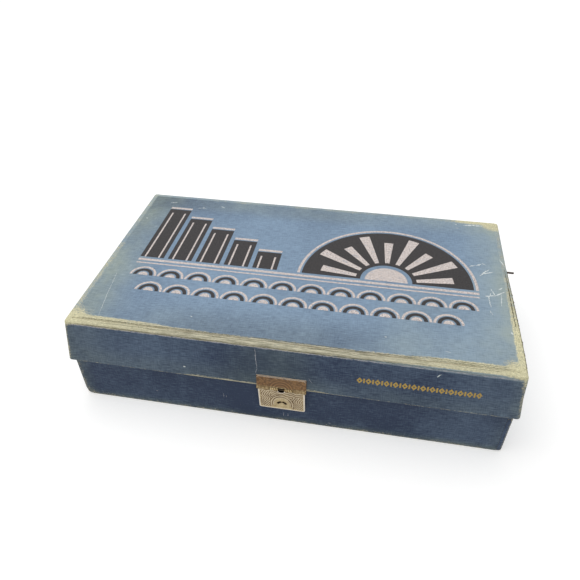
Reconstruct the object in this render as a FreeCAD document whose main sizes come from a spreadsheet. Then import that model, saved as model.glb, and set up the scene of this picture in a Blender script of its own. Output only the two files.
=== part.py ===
"""A cloth-covered board case: hinged lid with a leaning skirt, stamped clasp, neck, bays and end drawer.

The origin is the middle of the underside, +X is to the right, +Y to the hinge side and +Z up, in mm.
"""
import FreeCAD, Part
import os
import re
import Sketcher

Vector = FreeCAD.Vector
Rotation = FreeCAD.Rotation

doc = FreeCAD.newDocument("cloth_case")


# Driving dimensions, each a real size in millimetres, or in degrees where its comment says so.
SIZES = [
    # Outside of the case
    ("lid_width", "270"),            # over the cloth, at the top edge of the lid
    ("lid_depth", "155"),            # over the cloth, at the top edge of the lid
    ("case_height", "66"),
    ("skirt_depth", "31"),           # height of the lid's skirt
    ("skirt_flare", "3.4"),          # how far the skirt leans out at its lower edge
    ("lid_overhang", "2.4"),         # lower edge of the skirt past the face of the base
    ("corner_round", "2.2"),         # upright corners, over the cloth
    ("lid_edge_round", "1.4"),       # top edge of the lid, over the cloth
    ("worn_edge_round", "5"),        # crushed lower edge at the left end
    # Cover and linings
    ("cloth_thick", "0.4"),
    ("lining_thick", "0.3"),
    ("panel_margin", "4"),           # from the lid's edge to the top cloth's edge
    ("seam_gap", "0.2"),             # between the top cloth and the turned-over skirt cloth
    ("paper_margin", "1.5"),         # bottom paper inside the base's outline
    ("bottom_paper_thick", "0.4"),
    # Boards
    ("skirt_board", "1.6"),
    ("top_board", "2.4"),
    ("base_wall", "2.6"),
    ("bottom_board", "2"),
    ("deck_board", "1.6"),
    ("neck_board", "1.2"),
    ("neck_front_rise", "20"),       # front of the neck above the skirt's lower edge
    ("neck_step", "14"),             # length of the side necks that is as low as the front
    ("divider_board", "1.6"),
    ("divider_rise", "18"),
    ("trough_width", "86"),          # clear width of the long front trough
    ("bay_width", "86"),             # clear width of the middle bay behind it
    # Gaps of the lid
    ("lid_gap", "0.3"),              # wall tops below the skirt's lower edge
    ("lid_seat_gap", "0.2"),         # neck tops below the lid's lining
    # Brads through the skirt ends into the lid's top board
    ("brad_radius", "0.65"),
    ("brad_length", "14"),
    ("brad_pitch", "37"),
    ("brad_proud", "4.5"),           # how far the loose brad stands out of the cloth
    # Cloth hinge
    ("hinge_length", "250"),
    ("hinge_leaf", "15"),
    ("fold_radius", "0.45"),
    ("fold_gap", "0.1"),
    # Clasp
    ("clasp_metal", "0.6"),
    ("leaf_width", "30.4"),
    ("leaf_height", "8.6"),
    ("prong_width", "3"),
    ("prong_spread", "20"),
    ("prong_height", "4.5"),         # of the slits above the skirt's lower edge
    ("clinch_length", "3.5"),
    ("hinge_drop", "1.25"),          # pin centre below the skirt's lower edge, along the skirt
    ("knuckle_radius", "0.95"),
    ("knuckle_gap", "0.3"),
    ("hasp_knuckle", "14"),
    ("pin_radius", "0.5"),
    ("pin_clearance", "0.05"),
    ("hasp_width", "29"),
    ("hasp_length", "20"),           # pin centre to the lower edge
    ("hasp_corner", "1.6"),
    ("rim_width", "1"),
    ("rim_height", "0.3"),
    ("eye_radius", "1.95"),          # round hole in the knuckle that bares the pin
    ("eye_drop", "0.45"),
    ("dimple_radius", "1.8"),
    ("dimple_tip_radius", "1.2"),
    ("dimple_height", "0.45"),
    ("dimple_drop", "15.4"),
    ("arch_radius", "2.3"),          # inside of the two curved slots round the dimple
    ("arch_slot", "0.9"),
    ("arch_sweep", "60"),            # length of each slot, in degrees
    ("arch_parting", "20"),          # between the two slots at the top, in degrees
    ("catch_metal", "0.5"),
    ("catch_gap", "0.25"),
    ("catch_width", "22"),
    ("catch_height", "10"),
    ("catch_hole_radius", "2.2"),
    ("catch_pin_spread", "16"),
    ("catch_pin_radius", "0.5"),
    ("catch_pin_head", "1.1"),
    ("catch_pin_head_height", "0.4"),
    ("catch_pin_bite", "2.2"),       # depth driven into cloth and wall
    # Drawer in the right end
    ("drawer_gap", "0.4"),
    ("rail_height", "3.2"),
    ("front_board", "3"),
    ("front_lift", "0.8"),           # drawer front above the table
    ("drawer_board", "1.6"),
    ("knob_stem_radius", "1.6"),
    ("knob_foot_radius", "3.6"),
    ("knob_foot_height", "0.8"),
    ("knob_neck_length", "3"),
    ("knob_waist_radius", "2.7"),    # lower end of the neck, on the foot
    ("knob_neck_radius", "1.8"),
    ("knob_head_radius", "4.6"),
    ("knob_head_half", "2.4"),       # half of the head's length along the stem
    ("knob_peen_radius", "2.4"),
    ("knob_peen_height", "0.5"),
    ("washer_radius", "3.6"),
    ("washer_thick", "0.6"),
]

# What follows from the driving dimensions.
DERIVED = [
    ("beyond", "lid_width"),         # past the whole case, for cutting shapes
    ("skin", "cloth_thick + skirt_board"),
    ("lid_half", "lid_width / 2"),
    ("lid_half_low", "lid_half + skirt_flare"),
    ("base_half", "lid_half_low - lid_overhang"),
    ("base_back", "(lid_depth + skirt_flare - lid_overhang) / 2"),
    ("lid_front", "base_back - lid_depth"),
    ("lid_front_low", "lid_front - skirt_flare"),
    ("skirt_low", "case_height - skirt_depth"),
    ("board_top", "case_height - cloth_thick"),
    ("board_lean", "skirt_flare * cloth_thick / skirt_depth"),
    ("lid_ceiling", "board_top - top_board - lining_thick"),
    ("wall_top", "skirt_low - lid_gap"),
    ("board_half", "base_half - cloth_thick"),
    ("board_back", "base_back - cloth_thick"),
    ("inner_half", "board_half - base_wall"),
    ("inner_back", "board_back - base_wall"),
    ("floor_top", "bottom_paper_thick + bottom_board"),
    ("deck_low", "wall_top - deck_board"),
    ("deck_face", "wall_top + lining_thick"),
    ("neck_half", "inner_half - neck_board"),
    ("neck_back", "inner_back - neck_board"),
    ("neck_top", "lid_ceiling - lid_seat_gap"),
    ("neck_front_top", "skirt_low + neck_front_rise"),
    ("neck_step_end", "neck_step - neck_back"),
    ("divider_top", "deck_face + divider_rise"),
    ("trough_back", "trough_width - neck_back"),
    ("brad_level", "board_top - top_board / 2"),
    ("brad_face", "lid_half + skirt_flare * (case_height - brad_level) / skirt_depth - cloth_thick"),
    ("brad_middle", "base_back - lid_depth / 2"),
    ("fold_y", "base_back + cloth_thick + fold_gap"),
    ("flare_angle", "atan(skirt_flare / skirt_depth)"),
    ("half_metal", "clasp_metal / 2"),
    ("clasp_y", "lid_front_low - hinge_drop * sin(flare_angle) - half_metal * cos(flare_angle)"),
    ("clasp_z", "skirt_low - hinge_drop * cos(flare_angle) + half_metal * sin(flare_angle)"),
    ("plate_start", "knuckle_radius + knuckle_gap"),
    ("leaf_knuckle", "hasp_knuckle / 2 + knuckle_gap"),
    ("prong_level", "hinge_drop + prong_height"),
    ("clinch_face", "half_metal + skin * cos(flare_angle)"),
    ("hasp_reach", "-base_back - catch_metal - clasp_y"),
    ("hasp_tilt", "asin((hasp_reach - catch_gap - half_metal) / hasp_length)"),
    ("catch_hole_level", "clasp_z - dimple_drop * cos(hasp_tilt)"),
    ("catch_low", "clasp_z - hasp_length * cos(hasp_tilt) + rim_width"),
    ("catch_top", "catch_low + catch_height"),
    ("catch_pin_level", "catch_top - 2 * catch_pin_head"),
    ("rail_low", "wall_top - rail_height"),
    ("front_inner", "board_half - front_board"),
    ("front_wall_end", "front_inner - drawer_gap"),
    ("drawer_top", "rail_low - drawer_gap"),
    ("drawer_low", "floor_top + drawer_gap"),
    ("drawer_floor", "drawer_low + drawer_board"),
    ("drawer_left", "drawer_gap - inner_half"),
    ("drawer_back", "inner_back - drawer_gap"),
    ("knob_level", "(front_lift + drawer_top) / 2"),
    ("knob_neck_start", "base_half + knob_foot_height"),
    ("knob_head_middle", "knob_neck_start + knob_neck_length + knob_head_half / 2"),
    ("washer_inner", "front_inner - washer_thick"),
]

SHEET_OF = {name: "sizes" for name, _ in SIZES}
SHEET_OF.update({name: "derived" for name, _ in DERIVED})

BRADS_PER_END = 4
LOOSE_BRAD = 2                       # counted from the front, from nought
SAME_LEVEL = 1e-4                    # heights closer than this are one level


def formula(text):
    """The words that name a size, with the sheet that holds each in front of it."""
    def place(match):
        word = match.group()
        return SHEET_OF[word] + "." + word if word in SHEET_OF else word
    return re.sub(r"[a-z_]+", place, text)


def fill_sheets():
    """One sheet for the driving dimensions and one for what follows from them."""
    sizes = doc.addObject("Spreadsheet::Sheet", "sizes")
    for row, (name, value) in enumerate(SIZES, 1):
        sizes.set("A%d" % row, name)
        sizes.set("B%d" % row, value)
        sizes.setAlias("B%d" % row, name)
    doc.recompute()
    derived = doc.addObject("Spreadsheet::Sheet", "derived")
    for row, (name, text) in enumerate(DERIVED, 1):
        derived.set("A%d" % row, name)
        derived.setAlias("B%d" % row, name)
        derived.set("B%d" % row, "=" + formula(text))
    doc.recompute()


def bind(item, **texts):
    """Tie properties to formulas; an underscore pair in a name stands for a dot."""
    for name, text in texts.items():
        item.setExpression(name.replace("__", "."), formula(text))
    return item


def at(item, x="0", y="0", z="0"):
    return bind(item, Placement__Base__x=x, Placement__Base__y=y, Placement__Base__z=z)


def turn(item, axis, angle):
    item.Placement = FreeCAD.Placement(Vector(0, 0, 0), Rotation(Vector(*axis), angle))
    return item


def box(name, x, y, z):
    """A block between two formulas on each axis."""
    block = doc.addObject("Part::Box", name)
    spans = ["(%s) - (%s)" % (high, low) for low, high in (x, y, z)]
    bind(block, Length=spans[0], Width=spans[1], Height=spans[2])
    return at(block, x[0], y[0], z[0])


def both_ways(text):
    return "-(%s)" % text, text


def shape_wedge(wedge, top, left, right, front, back):
    """Stand a wedge on the skirt's lower edge, with its sides given at its lower and its upper end."""
    turn(wedge, (1, 0, 0), 90)
    return bind(wedge, Ymin="skirt_low", Ymax=top,
                Xmin=left[0], X2min=left[1], Xmax=right[0], X2max=right[1],
                Zmin="-(%s)" % back[0], Z2min="-(%s)" % back[1],
                Zmax="-(%s)" % front[0], Z2max="-(%s)" % front[1])


def lid_wedge(name, left, right, front, back):
    """A block over the skirt's height, with leaning sides."""
    return shape_wedge(doc.addObject("Part::Wedge", name), "case_height", left, right, front, back)


def rod(name, axis, radius, start, end, x="0", y="0", z="0"):
    """A round bar along X or Y, from one formula to another."""
    bar = doc.addObject("Part::Cylinder", name)
    turn(bar, (0, 1, 0) if axis == "x" else (-1, 0, 0), 90)
    bind(bar, Radius=radius, Height="(%s) - (%s)" % (end, start))
    return at(bar, start, y, z) if axis == "x" else at(bar, x, start, z)


def cut(name, base, *tools):
    """The base without the tools."""
    for number, tool in enumerate(tools, 1):
        last = number == len(tools)
        rest = doc.addObject("Part::Cut", name if last else "%s_cut_%d" % (name, number))
        rest.Base = base
        rest.Tool = tool
        base = rest
    return base


def common(name, first, second):
    shared = doc.addObject("Part::Common", name)
    shared.Base = first
    shared.Tool = second
    return shared


def fuse(name, *pieces):
    joined = doc.addObject("Part::MultiFuse", name)
    joined.Shapes = list(pieces)
    return joined


def group(name, *pieces):
    bundle = doc.addObject("Part::Compound", name)
    bundle.Links = list(pieces)
    return bundle


NODES = []


def node(piece, label):
    """Mark an object of the document as a finished sub-part."""
    piece.Label = label
    NODES.append(piece)
    return piece


def plane(body, role):
    return next(item for item in body.Origin.OriginFeatures if item.Role == role)


def value(text):
    """The present value of a formula, for the first drawing of a sketch."""
    return float(doc.getObject("sizes").evalExpression(formula(text)))


def rectangle(body, name, role, level, x, y):
    """A sketched rectangle, each side tied to its distance from the sketch's origin."""
    sketch = body.newObject("Sketcher::SketchObject", name)
    sketch.AttachmentSupport = [(plane(body, role), "")]
    sketch.MapMode = "FlatFace"
    bind(sketch, AttachmentOffset__Base__z=level)
    low = Vector(value(x[0]), value(y[0]), 0)
    high = Vector(value(x[1]), value(y[1]), 0)
    corners = [low, Vector(high.x, low.y, 0), high, Vector(low.x, high.y, 0)]
    for side in range(4):
        sketch.addGeometry(Part.LineSegment(corners[side], corners[(side + 1) % 4]), False)
    for side in range(4):
        sketch.addConstraint(Sketcher.Constraint("Coincident", side, 2, (side + 1) % 4, 1))
        sketch.addConstraint(Sketcher.Constraint("Vertical" if side % 2 else "Horizontal", side))
    for way, texts in (("X", x), ("Y", y)):
        for text, side in zip(texts, (0, 2)):
            tie_side(sketch, way, side, text)
    return sketch


def tie_side(sketch, way, side, text):
    """Hold the first corner of a side at a signed distance from the sketch's origin."""
    distance = value(text)
    ends = (-1, 1, side, 1) if distance > 0 else (side, 1, -1, 1)
    number = sketch.addConstraint(Sketcher.Constraint("Distance" + way, *ends, abs(distance)))
    name = "%s_of_side_%d" % (way.lower(), side)
    sketch.renameConstraint(number, name)
    bind(sketch, **{"Constraints__" + name: text if distance > 0 else "-(%s)" % text})


def round_edges(body, name, radius, wanted):
    """Fillet the edges of the body's last feature that a test picks."""
    doc.recompute()
    last = body.Tip
    picked = ["Edge%d" % number for number, edge in enumerate(last.Shape.Edges, 1) if wanted(edge)]
    fillet = body.newObject("PartDesign::Fillet", name)
    fillet.Base = (last, picked)
    bind(fillet, Radius=radius)
    doc.recompute()


def upright(edge):
    return abs(edge.tangentAt(edge.FirstParameter).z) > 0.9


def lid_form(name, inset, top, lean):
    """The lid as a solid block, over its cloth or over its boards, with rounded corners and top edge."""
    body = doc.addObject("PartDesign::Body", name)
    low = "lid_half_low - " + inset
    high = "lid_half + %s - %s" % (lean, inset)
    back = "base_back - " + inset
    shape_wedge(body.newObject("PartDesign::AdditiveWedge", name + "_block"), top,
                ("-(%s)" % low, "-(%s)" % high), (low, high),
                ("lid_front_low + " + inset, "lid_front - %s + %s" % (lean, inset)), (back, back))
    round_edges(body, name + "_corners", "corner_round - " + inset, upright)
    level = value(top)
    round_edges(body, name + "_edge", "lid_edge_round - " + inset,
                lambda edge: all(abs(vertex.Z - level) < SAME_LEVEL for vertex in edge.Vertexes))
    return body


def base_form(name, inset):
    """The base as a solid block, over its cloth or over its boards, with its crushed left edge."""
    body = doc.addObject("PartDesign::Body", name + "_block")
    outline = rectangle(body, name + "_outline", "XY_Plane", "0",
                        both_ways("base_half - " + inset), both_ways("base_back - " + inset))
    pad = body.newObject("PartDesign::Pad", name + "_pad")
    pad.Profile = outline
    bind(pad, Length="wall_top")
    round_edges(body, name + "_corners", "corner_round - " + inset, upright)
    corner = box(name + "_corner", ("-beyond", "worn_edge_round - base_half"), both_ways("beyond"),
                 ("-beyond", "worn_edge_round"))
    roller = rod(name + "_roller", "y", "worn_edge_round - " + inset, "-beyond", "beyond",
                 x="worn_edge_round - base_half", z="worn_edge_round")
    return cut(name, body, cut(name + "_waste", corner, roller))


def make_brads(side):
    """Four wire brads in a row at one end; the third at the right end has worked loose."""
    sign = "-" if side == "left" else ""
    brads = []
    for number in range(BRADS_PER_END):
        loose = side == "right" and number == LOOSE_BRAD
        outer = "brad_face + cloth_thick + brad_proud" if loose else "brad_face"
        ends = (outer + " - brad_length", outer)
        if sign:
            ends = tuple("-(%s)" % text for text in reversed(ends))
        row = "brad_middle + brad_pitch * %s" % (number - (BRADS_PER_END - 1) / 2)
        brads.append(rod("%s_brad_%d" % (side, number + 1), "x", "brad_radius", ends[0], ends[1],
                         y=row, z="brad_level"))
    return brads


def make_leaf():
    """The clasp's upper leaf: a plate on the skirt, two clinched prongs and its two knuckles."""
    pieces = [box("leaf_plate", both_ways("leaf_width / 2"), both_ways("half_metal"),
                  ("plate_start", "hinge_drop + leaf_height"))]
    for side, sign in (("left", "-"), ("right", "")):
        ends = ("leaf_knuckle", "leaf_width / 2")
        if sign:
            ends = ("-leaf_width / 2", "-leaf_knuckle")
        middle = sign + "prong_spread / 2"
        prong = (middle + " - prong_width / 2", middle + " + prong_width / 2")
        pieces += [
            box(side + "_leaf_tab", ends, both_ways("half_metal"), ("0", "plate_start")),
            rod(side + "_leaf_knuckle", "x", "knuckle_radius", *ends),
            box(side + "_prong", prong, ("half_metal", "clinch_face + clasp_metal"),
                ("prong_level", "prong_level + clasp_metal")),
            box(side + "_clinch", prong, ("clinch_face", "clinch_face + clasp_metal"),
                ("prong_level", "prong_level + clinch_length")),
        ]
    bore = rod("leaf_bore", "x", "pin_radius + pin_clearance", *both_ways("leaf_width"))
    leaf = cut("leaf_on_skirt", fuse("leaf_blank", *pieces), bore)
    turn(leaf, (-1, 0, 0), 1)
    bind(leaf, Placement__Rotation__Angle="flare_angle")
    return at(leaf, y="clasp_y", z="clasp_z")


def arch_slot(name, start):
    """One curved slot beside the dimple, from a formula for the angle at which it starts."""
    ring = doc.addObject("Part::Cylinder", name + "_outer")
    bind(ring, Radius="arch_radius + arch_slot", Height="2 * clasp_metal", Angle="arch_sweep")
    facing = Rotation(Vector(1, 0, 0), -90).multiply(Rotation(Vector(0, 0, 1), value(start)))
    ring.Placement = FreeCAD.Placement(Vector(0, 0, 0), facing)
    at(ring, y="-clasp_metal", z="-dimple_drop")
    core = rod(name + "_core", "y", "arch_radius", "-2 * clasp_metal", "2 * clasp_metal", z="-dimple_drop")
    return cut(name, ring, core)


def make_hasp():
    """The swinging hasp: a stamped plate with a raised rim, an eye, a dimple and its middle knuckle."""
    body = doc.addObject("PartDesign::Body", "hasp_stamping")
    outline = rectangle(body, "hasp_outline", "XZ_Plane", "-half_metal",
                        both_ways("hasp_width / 2"), ("-hasp_length", "-plate_start"))
    plate = body.newObject("PartDesign::Pad", "hasp_pad")
    plate.Profile = outline
    bind(plate, Length="clasp_metal + rim_height")
    bottom = -value("hasp_length")
    round_edges(body, "hasp_corners", "hasp_corner",
                lambda edge: all(abs(vertex.Z - bottom) < SAME_LEVEL for vertex in edge.Vertexes)
                and abs(edge.tangentAt(edge.FirstParameter).y) > 0.9)
    field = rectangle(body, "hasp_field", "XZ_Plane", "half_metal + rim_height",
                      both_ways("hasp_width / 2 - rim_width"), ("rim_width - hasp_length", "plate_start"))
    sunk = body.newObject("PartDesign::Pocket", "hasp_sunk_field")
    sunk.Profile = field
    bind(sunk, Length="rim_height")
    doc.recompute()
    dimple = turn(doc.addObject("Part::Cone", "hasp_dimple"), (-1, 0, 0), 90)
    bind(dimple, Radius1="dimple_radius", Radius2="dimple_tip_radius", Height="dimple_height")
    at(dimple, y="half_metal", z="-dimple_drop")
    ends = both_ways("hasp_knuckle / 2")
    tab = box("hasp_tab", ends, both_ways("half_metal"), ("-plate_start - rim_width", "0"))
    knuckle = rod("hasp_barrel", "x", "knuckle_radius", *ends)
    bore = rod("hasp_bore", "x", "pin_radius + pin_clearance", *both_ways("hasp_width"))
    eye = rod("hasp_eye", "y", "eye_radius", "-2 * clasp_metal", "2 * clasp_metal", z="-eye_drop")
    hasp = cut("hasp_on_base", fuse("hasp_blank", body, tab, knuckle, dimple), bore, eye,
               arch_slot("right_arch", "arch_parting / 2 - 90"),
               arch_slot("left_arch", "-arch_parting / 2 - arch_sweep - 90"))
    turn(hasp, (1, 0, 0), 1)
    bind(hasp, Placement__Rotation__Angle="hasp_tilt")
    return at(hasp, y="clasp_y", z="clasp_z")


def make_catch_pins():
    """Two round-headed pins that hold the catch plate on the front wall."""
    pins = []
    for side, sign in (("left", "-"), ("right", "")):
        place = dict(x=sign + "catch_pin_spread / 2", z="catch_pin_level")
        face = "-base_back - catch_metal"
        shank = rod(side + "_pin_shank", "y", "catch_pin_radius", face, "catch_pin_bite - base_back", **place)
        head = rod(side + "_pin_head", "y", "catch_pin_head", face + " - catch_pin_head_height", face,
                   **place)
        pins.append(fuse(side + "_catch_pin", shank, head))
    return pins


def make_knob():
    """A turned knob on a stem through the drawer front, peened over a washer inside."""
    place = dict(z="knob_level")
    stem = rod("knob_stem", "x", "knob_stem_radius", "washer_inner", "knob_neck_start", **place)
    peen = rod("knob_peen", "x", "knob_peen_radius", "washer_inner - knob_peen_height", "washer_inner",
               **place)
    foot = rod("knob_foot", "x", "knob_foot_radius", "base_half", "knob_neck_start", **place)
    neck = turn(doc.addObject("Part::Cone", "knob_neck"), (0, 1, 0), 90)
    bind(neck, Radius1="knob_waist_radius", Radius2="knob_neck_radius",
         Height="knob_neck_length + knob_head_half / 2")
    at(neck, x="knob_neck_start", z="knob_level")
    head = turn(doc.addObject("Part::Ellipsoid", "knob_head"), (0, 1, 0), 90)
    bind(head, Radius1="knob_head_half", Radius2="knob_head_radius", Radius3="knob_head_radius")
    at(head, x="knob_head_middle", z="knob_level")
    return fuse("turned_knob", stem, peen, foot, neck, head)


def make_lid():
    """Top board, four skirts, the cloth over them, the lining and the brads."""
    cloth_form = lid_form("lid_cloth_form", "0", "case_height", "0")
    board_form = lid_form("lid_board_form", "cloth_thick", "board_top", "board_lean")
    leaf = node(make_leaf(), "clasp_leaf")
    left_brads = make_brads("left")
    right_brads = make_brads("right")
    brads = node(group("brads", *left_brads, *right_brads), "lid_brads")

    side_low = "lid_half_low - skin"
    side_high = "lid_half - skin"
    front = ("lid_front_low + skin", "lid_front + skin")
    back = ("base_back - skin", "base_back - skin")
    far = ("beyond", "beyond")
    far_left = ("-beyond", "-beyond")
    left = ("-(%s)" % side_low, "-(%s)" % side_high)
    right = (side_low, side_high)
    behind_front = lid_wedge("behind_front_skirt", far_left, far, front, far)
    between = lid_wedge("between_front_and_back", far_left, far, front, back)
    right_of_left = lid_wedge("right_of_left_skirt", left, far, far_left, far)
    left_of_right = lid_wedge("left_of_right_skirt", far_left, right, far_left, far)
    inside = lid_wedge("inside_of_skirts", left, right, front, back)

    node(cut("front_skirt", board_form, behind_front, leaf), "lid_front_skirt")
    node(cut("back_wall", board_form, box("before_back_wall", both_ways("beyond"),
                                          ("-beyond", back[0]), ("0", "beyond"))), "lid_back_wall")
    ends = common("lid_ends", board_form, between)
    node(cut("left_skirt", ends, right_of_left, brads), "lid_left_skirt")
    node(cut("right_skirt", ends, left_of_right, brads), "lid_right_skirt")
    upper = box("top_board_level", both_ways("beyond"), both_ways("beyond"),
                ("board_top - top_board", "board_top"))
    node(cut("top_panel_board", common("top_board_blank", inside, upper), brads), "lid_top_board")

    edge = "lid_half - panel_margin"
    recess = box("panel_recess", both_ways(edge + " + seam_gap"),
                 ("lid_front + panel_margin - seam_gap", "base_back - panel_margin + seam_gap"),
                 ("board_top", "case_height"))
    node(cut("skirt_wrap", cloth_form, board_form, recess, leaf, brads), "lid_skirt_cloth")
    node(box("top_sheet", both_ways(edge), ("lid_front + panel_margin", "base_back - panel_margin"),
             ("board_top", "case_height")), "lid_top_cloth")
    node(box("ceiling_paper", both_ways("lid_half - skin"), ("lid_front + skin", "base_back - skin"),
             ("lid_ceiling", "lid_ceiling + lining_thick")), "lid_lining")


def make_hinge():
    """The cloth hinge down the back: a leaf on the lid, and one on the base with the rolled fold."""
    across = both_ways("hinge_length / 2")
    through = ("base_back", "base_back + cloth_thick")
    node(box("upper_leaf", across, through,
             ("skirt_low + fold_radius + fold_gap", "skirt_low + hinge_leaf")), "hinge_cloth_upper")
    lower = box("lower_leaf", across, through, ("skirt_low - hinge_leaf", "skirt_low - fold_gap"))
    fold = rod("hinge_fold", "x", "fold_radius", *across, y="fold_y", z="skirt_low")
    node(fuse("lower_leaf_and_fold", lower, fold), "hinge_cloth_lower")


def make_base():
    """Bottom, walls, rail, deck, neck, dividers, cloth and papers of the base."""
    cloth_form = base_form("base_cloth_form", "0")
    board_form = base_form("base_board_form", "cloth_thick")
    shell = cut("base_shell", cloth_form, board_form)
    pins = node(group("plate_pins", *make_catch_pins()), "catch_pins")
    mouth = box("drawer_mouth", ("front_wall_end", "beyond"), both_ways("beyond"), ("-beyond", "rail_low"))
    wall = ("floor_top", "wall_top")
    between = both_ways("inner_back")

    front = common("front_wall_blank", board_form,
                   box("front_zone", both_ways("beyond"), ("-beyond", "-inner_back"), wall))
    node(cut("front_wall", front, mouth, pins), "base_front_wall")
    back = common("back_wall_blank", board_form,
                  box("back_zone", both_ways("beyond"), ("inner_back", "beyond"), wall))
    node(cut("back_wall_board", back, mouth), "base_back_wall")
    node(common("left_wall", board_form, box("left_zone", ("-beyond", "-inner_half"), between, wall)),
         "base_left_wall")
    node(common("right_rail", board_form, box("rail_zone", ("inner_half", "beyond"), between,
                                              ("rail_low", "wall_top"))), "base_right_rail")
    floor_zone = box("floor_zone", ("-beyond", "front_wall_end"), both_ways("beyond"),
                     ("bottom_paper_thick", "floor_top"))
    node(common("floor_board", board_form, floor_zone), "base_bottom_board")
    node(box("under_paper", ("worn_edge_round - base_half + paper_margin", "front_wall_end - paper_margin"),
             both_ways("board_back - paper_margin"), ("0", "bottom_paper_thick")), "base_bottom_paper")
    node(cut("base_wrap", shell, mouth, pins), "base_cloth")

    node(box("deck", both_ways("inner_half"), between, ("deck_low", "wall_top")), "deck_board")
    node(box("deck_paper", both_ways("neck_half"), both_ways("neck_back"), ("wall_top", "deck_face")),
         "deck_lining")
    node(box("neck_front", both_ways("inner_half"), ("-inner_back", "-neck_back"),
             ("wall_top", "neck_front_top")), "neck_front_board")
    node(box("neck_rear", both_ways("inner_half"), ("neck_back", "inner_back"), ("wall_top", "neck_top")),
         "neck_back_board")
    step = box("neck_step_cut", both_ways("beyond"), ("-beyond", "neck_step_end"),
               ("neck_front_top", "beyond"))
    for side, ends in (("left", ("-inner_half", "-neck_half")), ("right", ("neck_half", "inner_half"))):
        blank = box(side + "_neck_blank", ends, both_ways("neck_back"), ("wall_top", "neck_top"))
        node(cut(side + "_neck", blank, step), "neck_%s_board" % side)

    rise = ("deck_face", "divider_top")
    node(box("trough_divider", both_ways("neck_half"), ("trough_back", "trough_back + divider_board"), rise),
         "long_divider")
    bays = ("trough_back + divider_board", "neck_back")
    node(group("bay_dividers",
               box("left_bay_divider", ("-bay_width / 2 - divider_board", "-bay_width / 2"), bays, rise),
               box("right_bay_divider", ("bay_width / 2", "bay_width / 2 + divider_board"), bays, rise)),
         "cross_dividers")
    return board_form, shell, pins


def make_clasp(pins):
    """Hasp and pin on the lid, and the catch plate that the dimple meets on the base."""
    node(make_hasp(), "hasp_plate")
    node(rod("clasp_pin", "x", "pin_radius", *both_ways("leaf_width / 2"), y="clasp_y", z="clasp_z"),
         "hasp_pin")
    blank = box("catch_blank", both_ways("catch_width / 2"), ("-base_back - catch_metal", "-base_back"),
                ("catch_low", "catch_top"))
    hole = rod("catch_hole", "y", "catch_hole_radius", "-beyond", "0", z="catch_hole_level")
    node(cut("catch", blank, hole, pins), "catch_plate")


def make_drawer(board_form, shell):
    """The drawer: a cloth-covered front over the end of the base, a board tray and its knob."""
    knob = node(make_knob(), "drawer_knob")
    front_zone = box("drawer_front_zone", ("front_inner", "beyond"), both_ways("beyond"),
                     ("front_lift", "drawer_top"))
    node(cut("front_panel", common("front_panel_blank", board_form, front_zone), knob), "drawer_front_board")
    node(cut("front_wrap", common("front_wrap_blank", shell, front_zone), knob), "drawer_front_cloth")
    node(cut("stem_washer", rod("washer_blank", "x", "washer_radius", "washer_inner", "front_inner",
                                z="knob_level"), knob), "knob_washer")

    long_way = ("drawer_left", "front_inner")
    inner = "drawer_back - drawer_board"
    side_rise = ("drawer_floor", "drawer_top")
    node(box("tray_floor", long_way, both_ways("drawer_back"), ("drawer_low", "drawer_floor")),
         "drawer_bottom")
    node(box("tray_near", long_way, ("-drawer_back", "-(%s)" % inner), side_rise), "drawer_near_side")
    node(box("tray_far", long_way, (inner, "drawer_back"), side_rise), "drawer_far_side")
    node(box("tray_end", ("drawer_left", "drawer_left + drawer_board"), both_ways(inner), side_rise),
         "drawer_inner_end")


def check_and_write():
    """Stop if an object failed or a shape is unsound; then write each sub-part."""
    doc.recompute()
    for item in doc.Objects:
        if "Invalid" in item.State or "Error" in item.State:
            raise RuntimeError("%s failed: %s" % (item.Name, item.State))
    for piece in NODES:
        if piece.Shape.isNull() or not piece.Shape.isValid() or not piece.Shape.Solids:
            raise RuntimeError("%s has no sound shape" % piece.Label)
    os.makedirs("parts", exist_ok=True)
    for piece in NODES:
        piece.Shape.exportStep("parts/%s.step" % piece.Label)
        span = piece.Shape.BoundBox
        print("%-20s %d solids %10.1f mm3  x %.2f..%.2f  y %.2f..%.2f  z %.2f..%.2f" % (
            piece.Label, len(piece.Shape.Solids), piece.Shape.Volume,
            span.XMin, span.XMax, span.YMin, span.YMax, span.ZMin, span.ZMax))


fill_sheets()
make_lid()
make_hinge()
base_boards, base_shell, catch_pins = make_base()
make_clasp(catch_pins)
make_drawer(base_boards, base_shell)
check_and_write()
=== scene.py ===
"""Looks of a cloth-covered case: boards, neck, linings, book cloth, printed lid, clasp and end drawer.

Pieces are drawn in millimetres in the case's own frame and become metres as they are made into meshes.
"""
import bpy
import math
import numpy as np
from mathutils import Matrix, Vector, geometry


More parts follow.
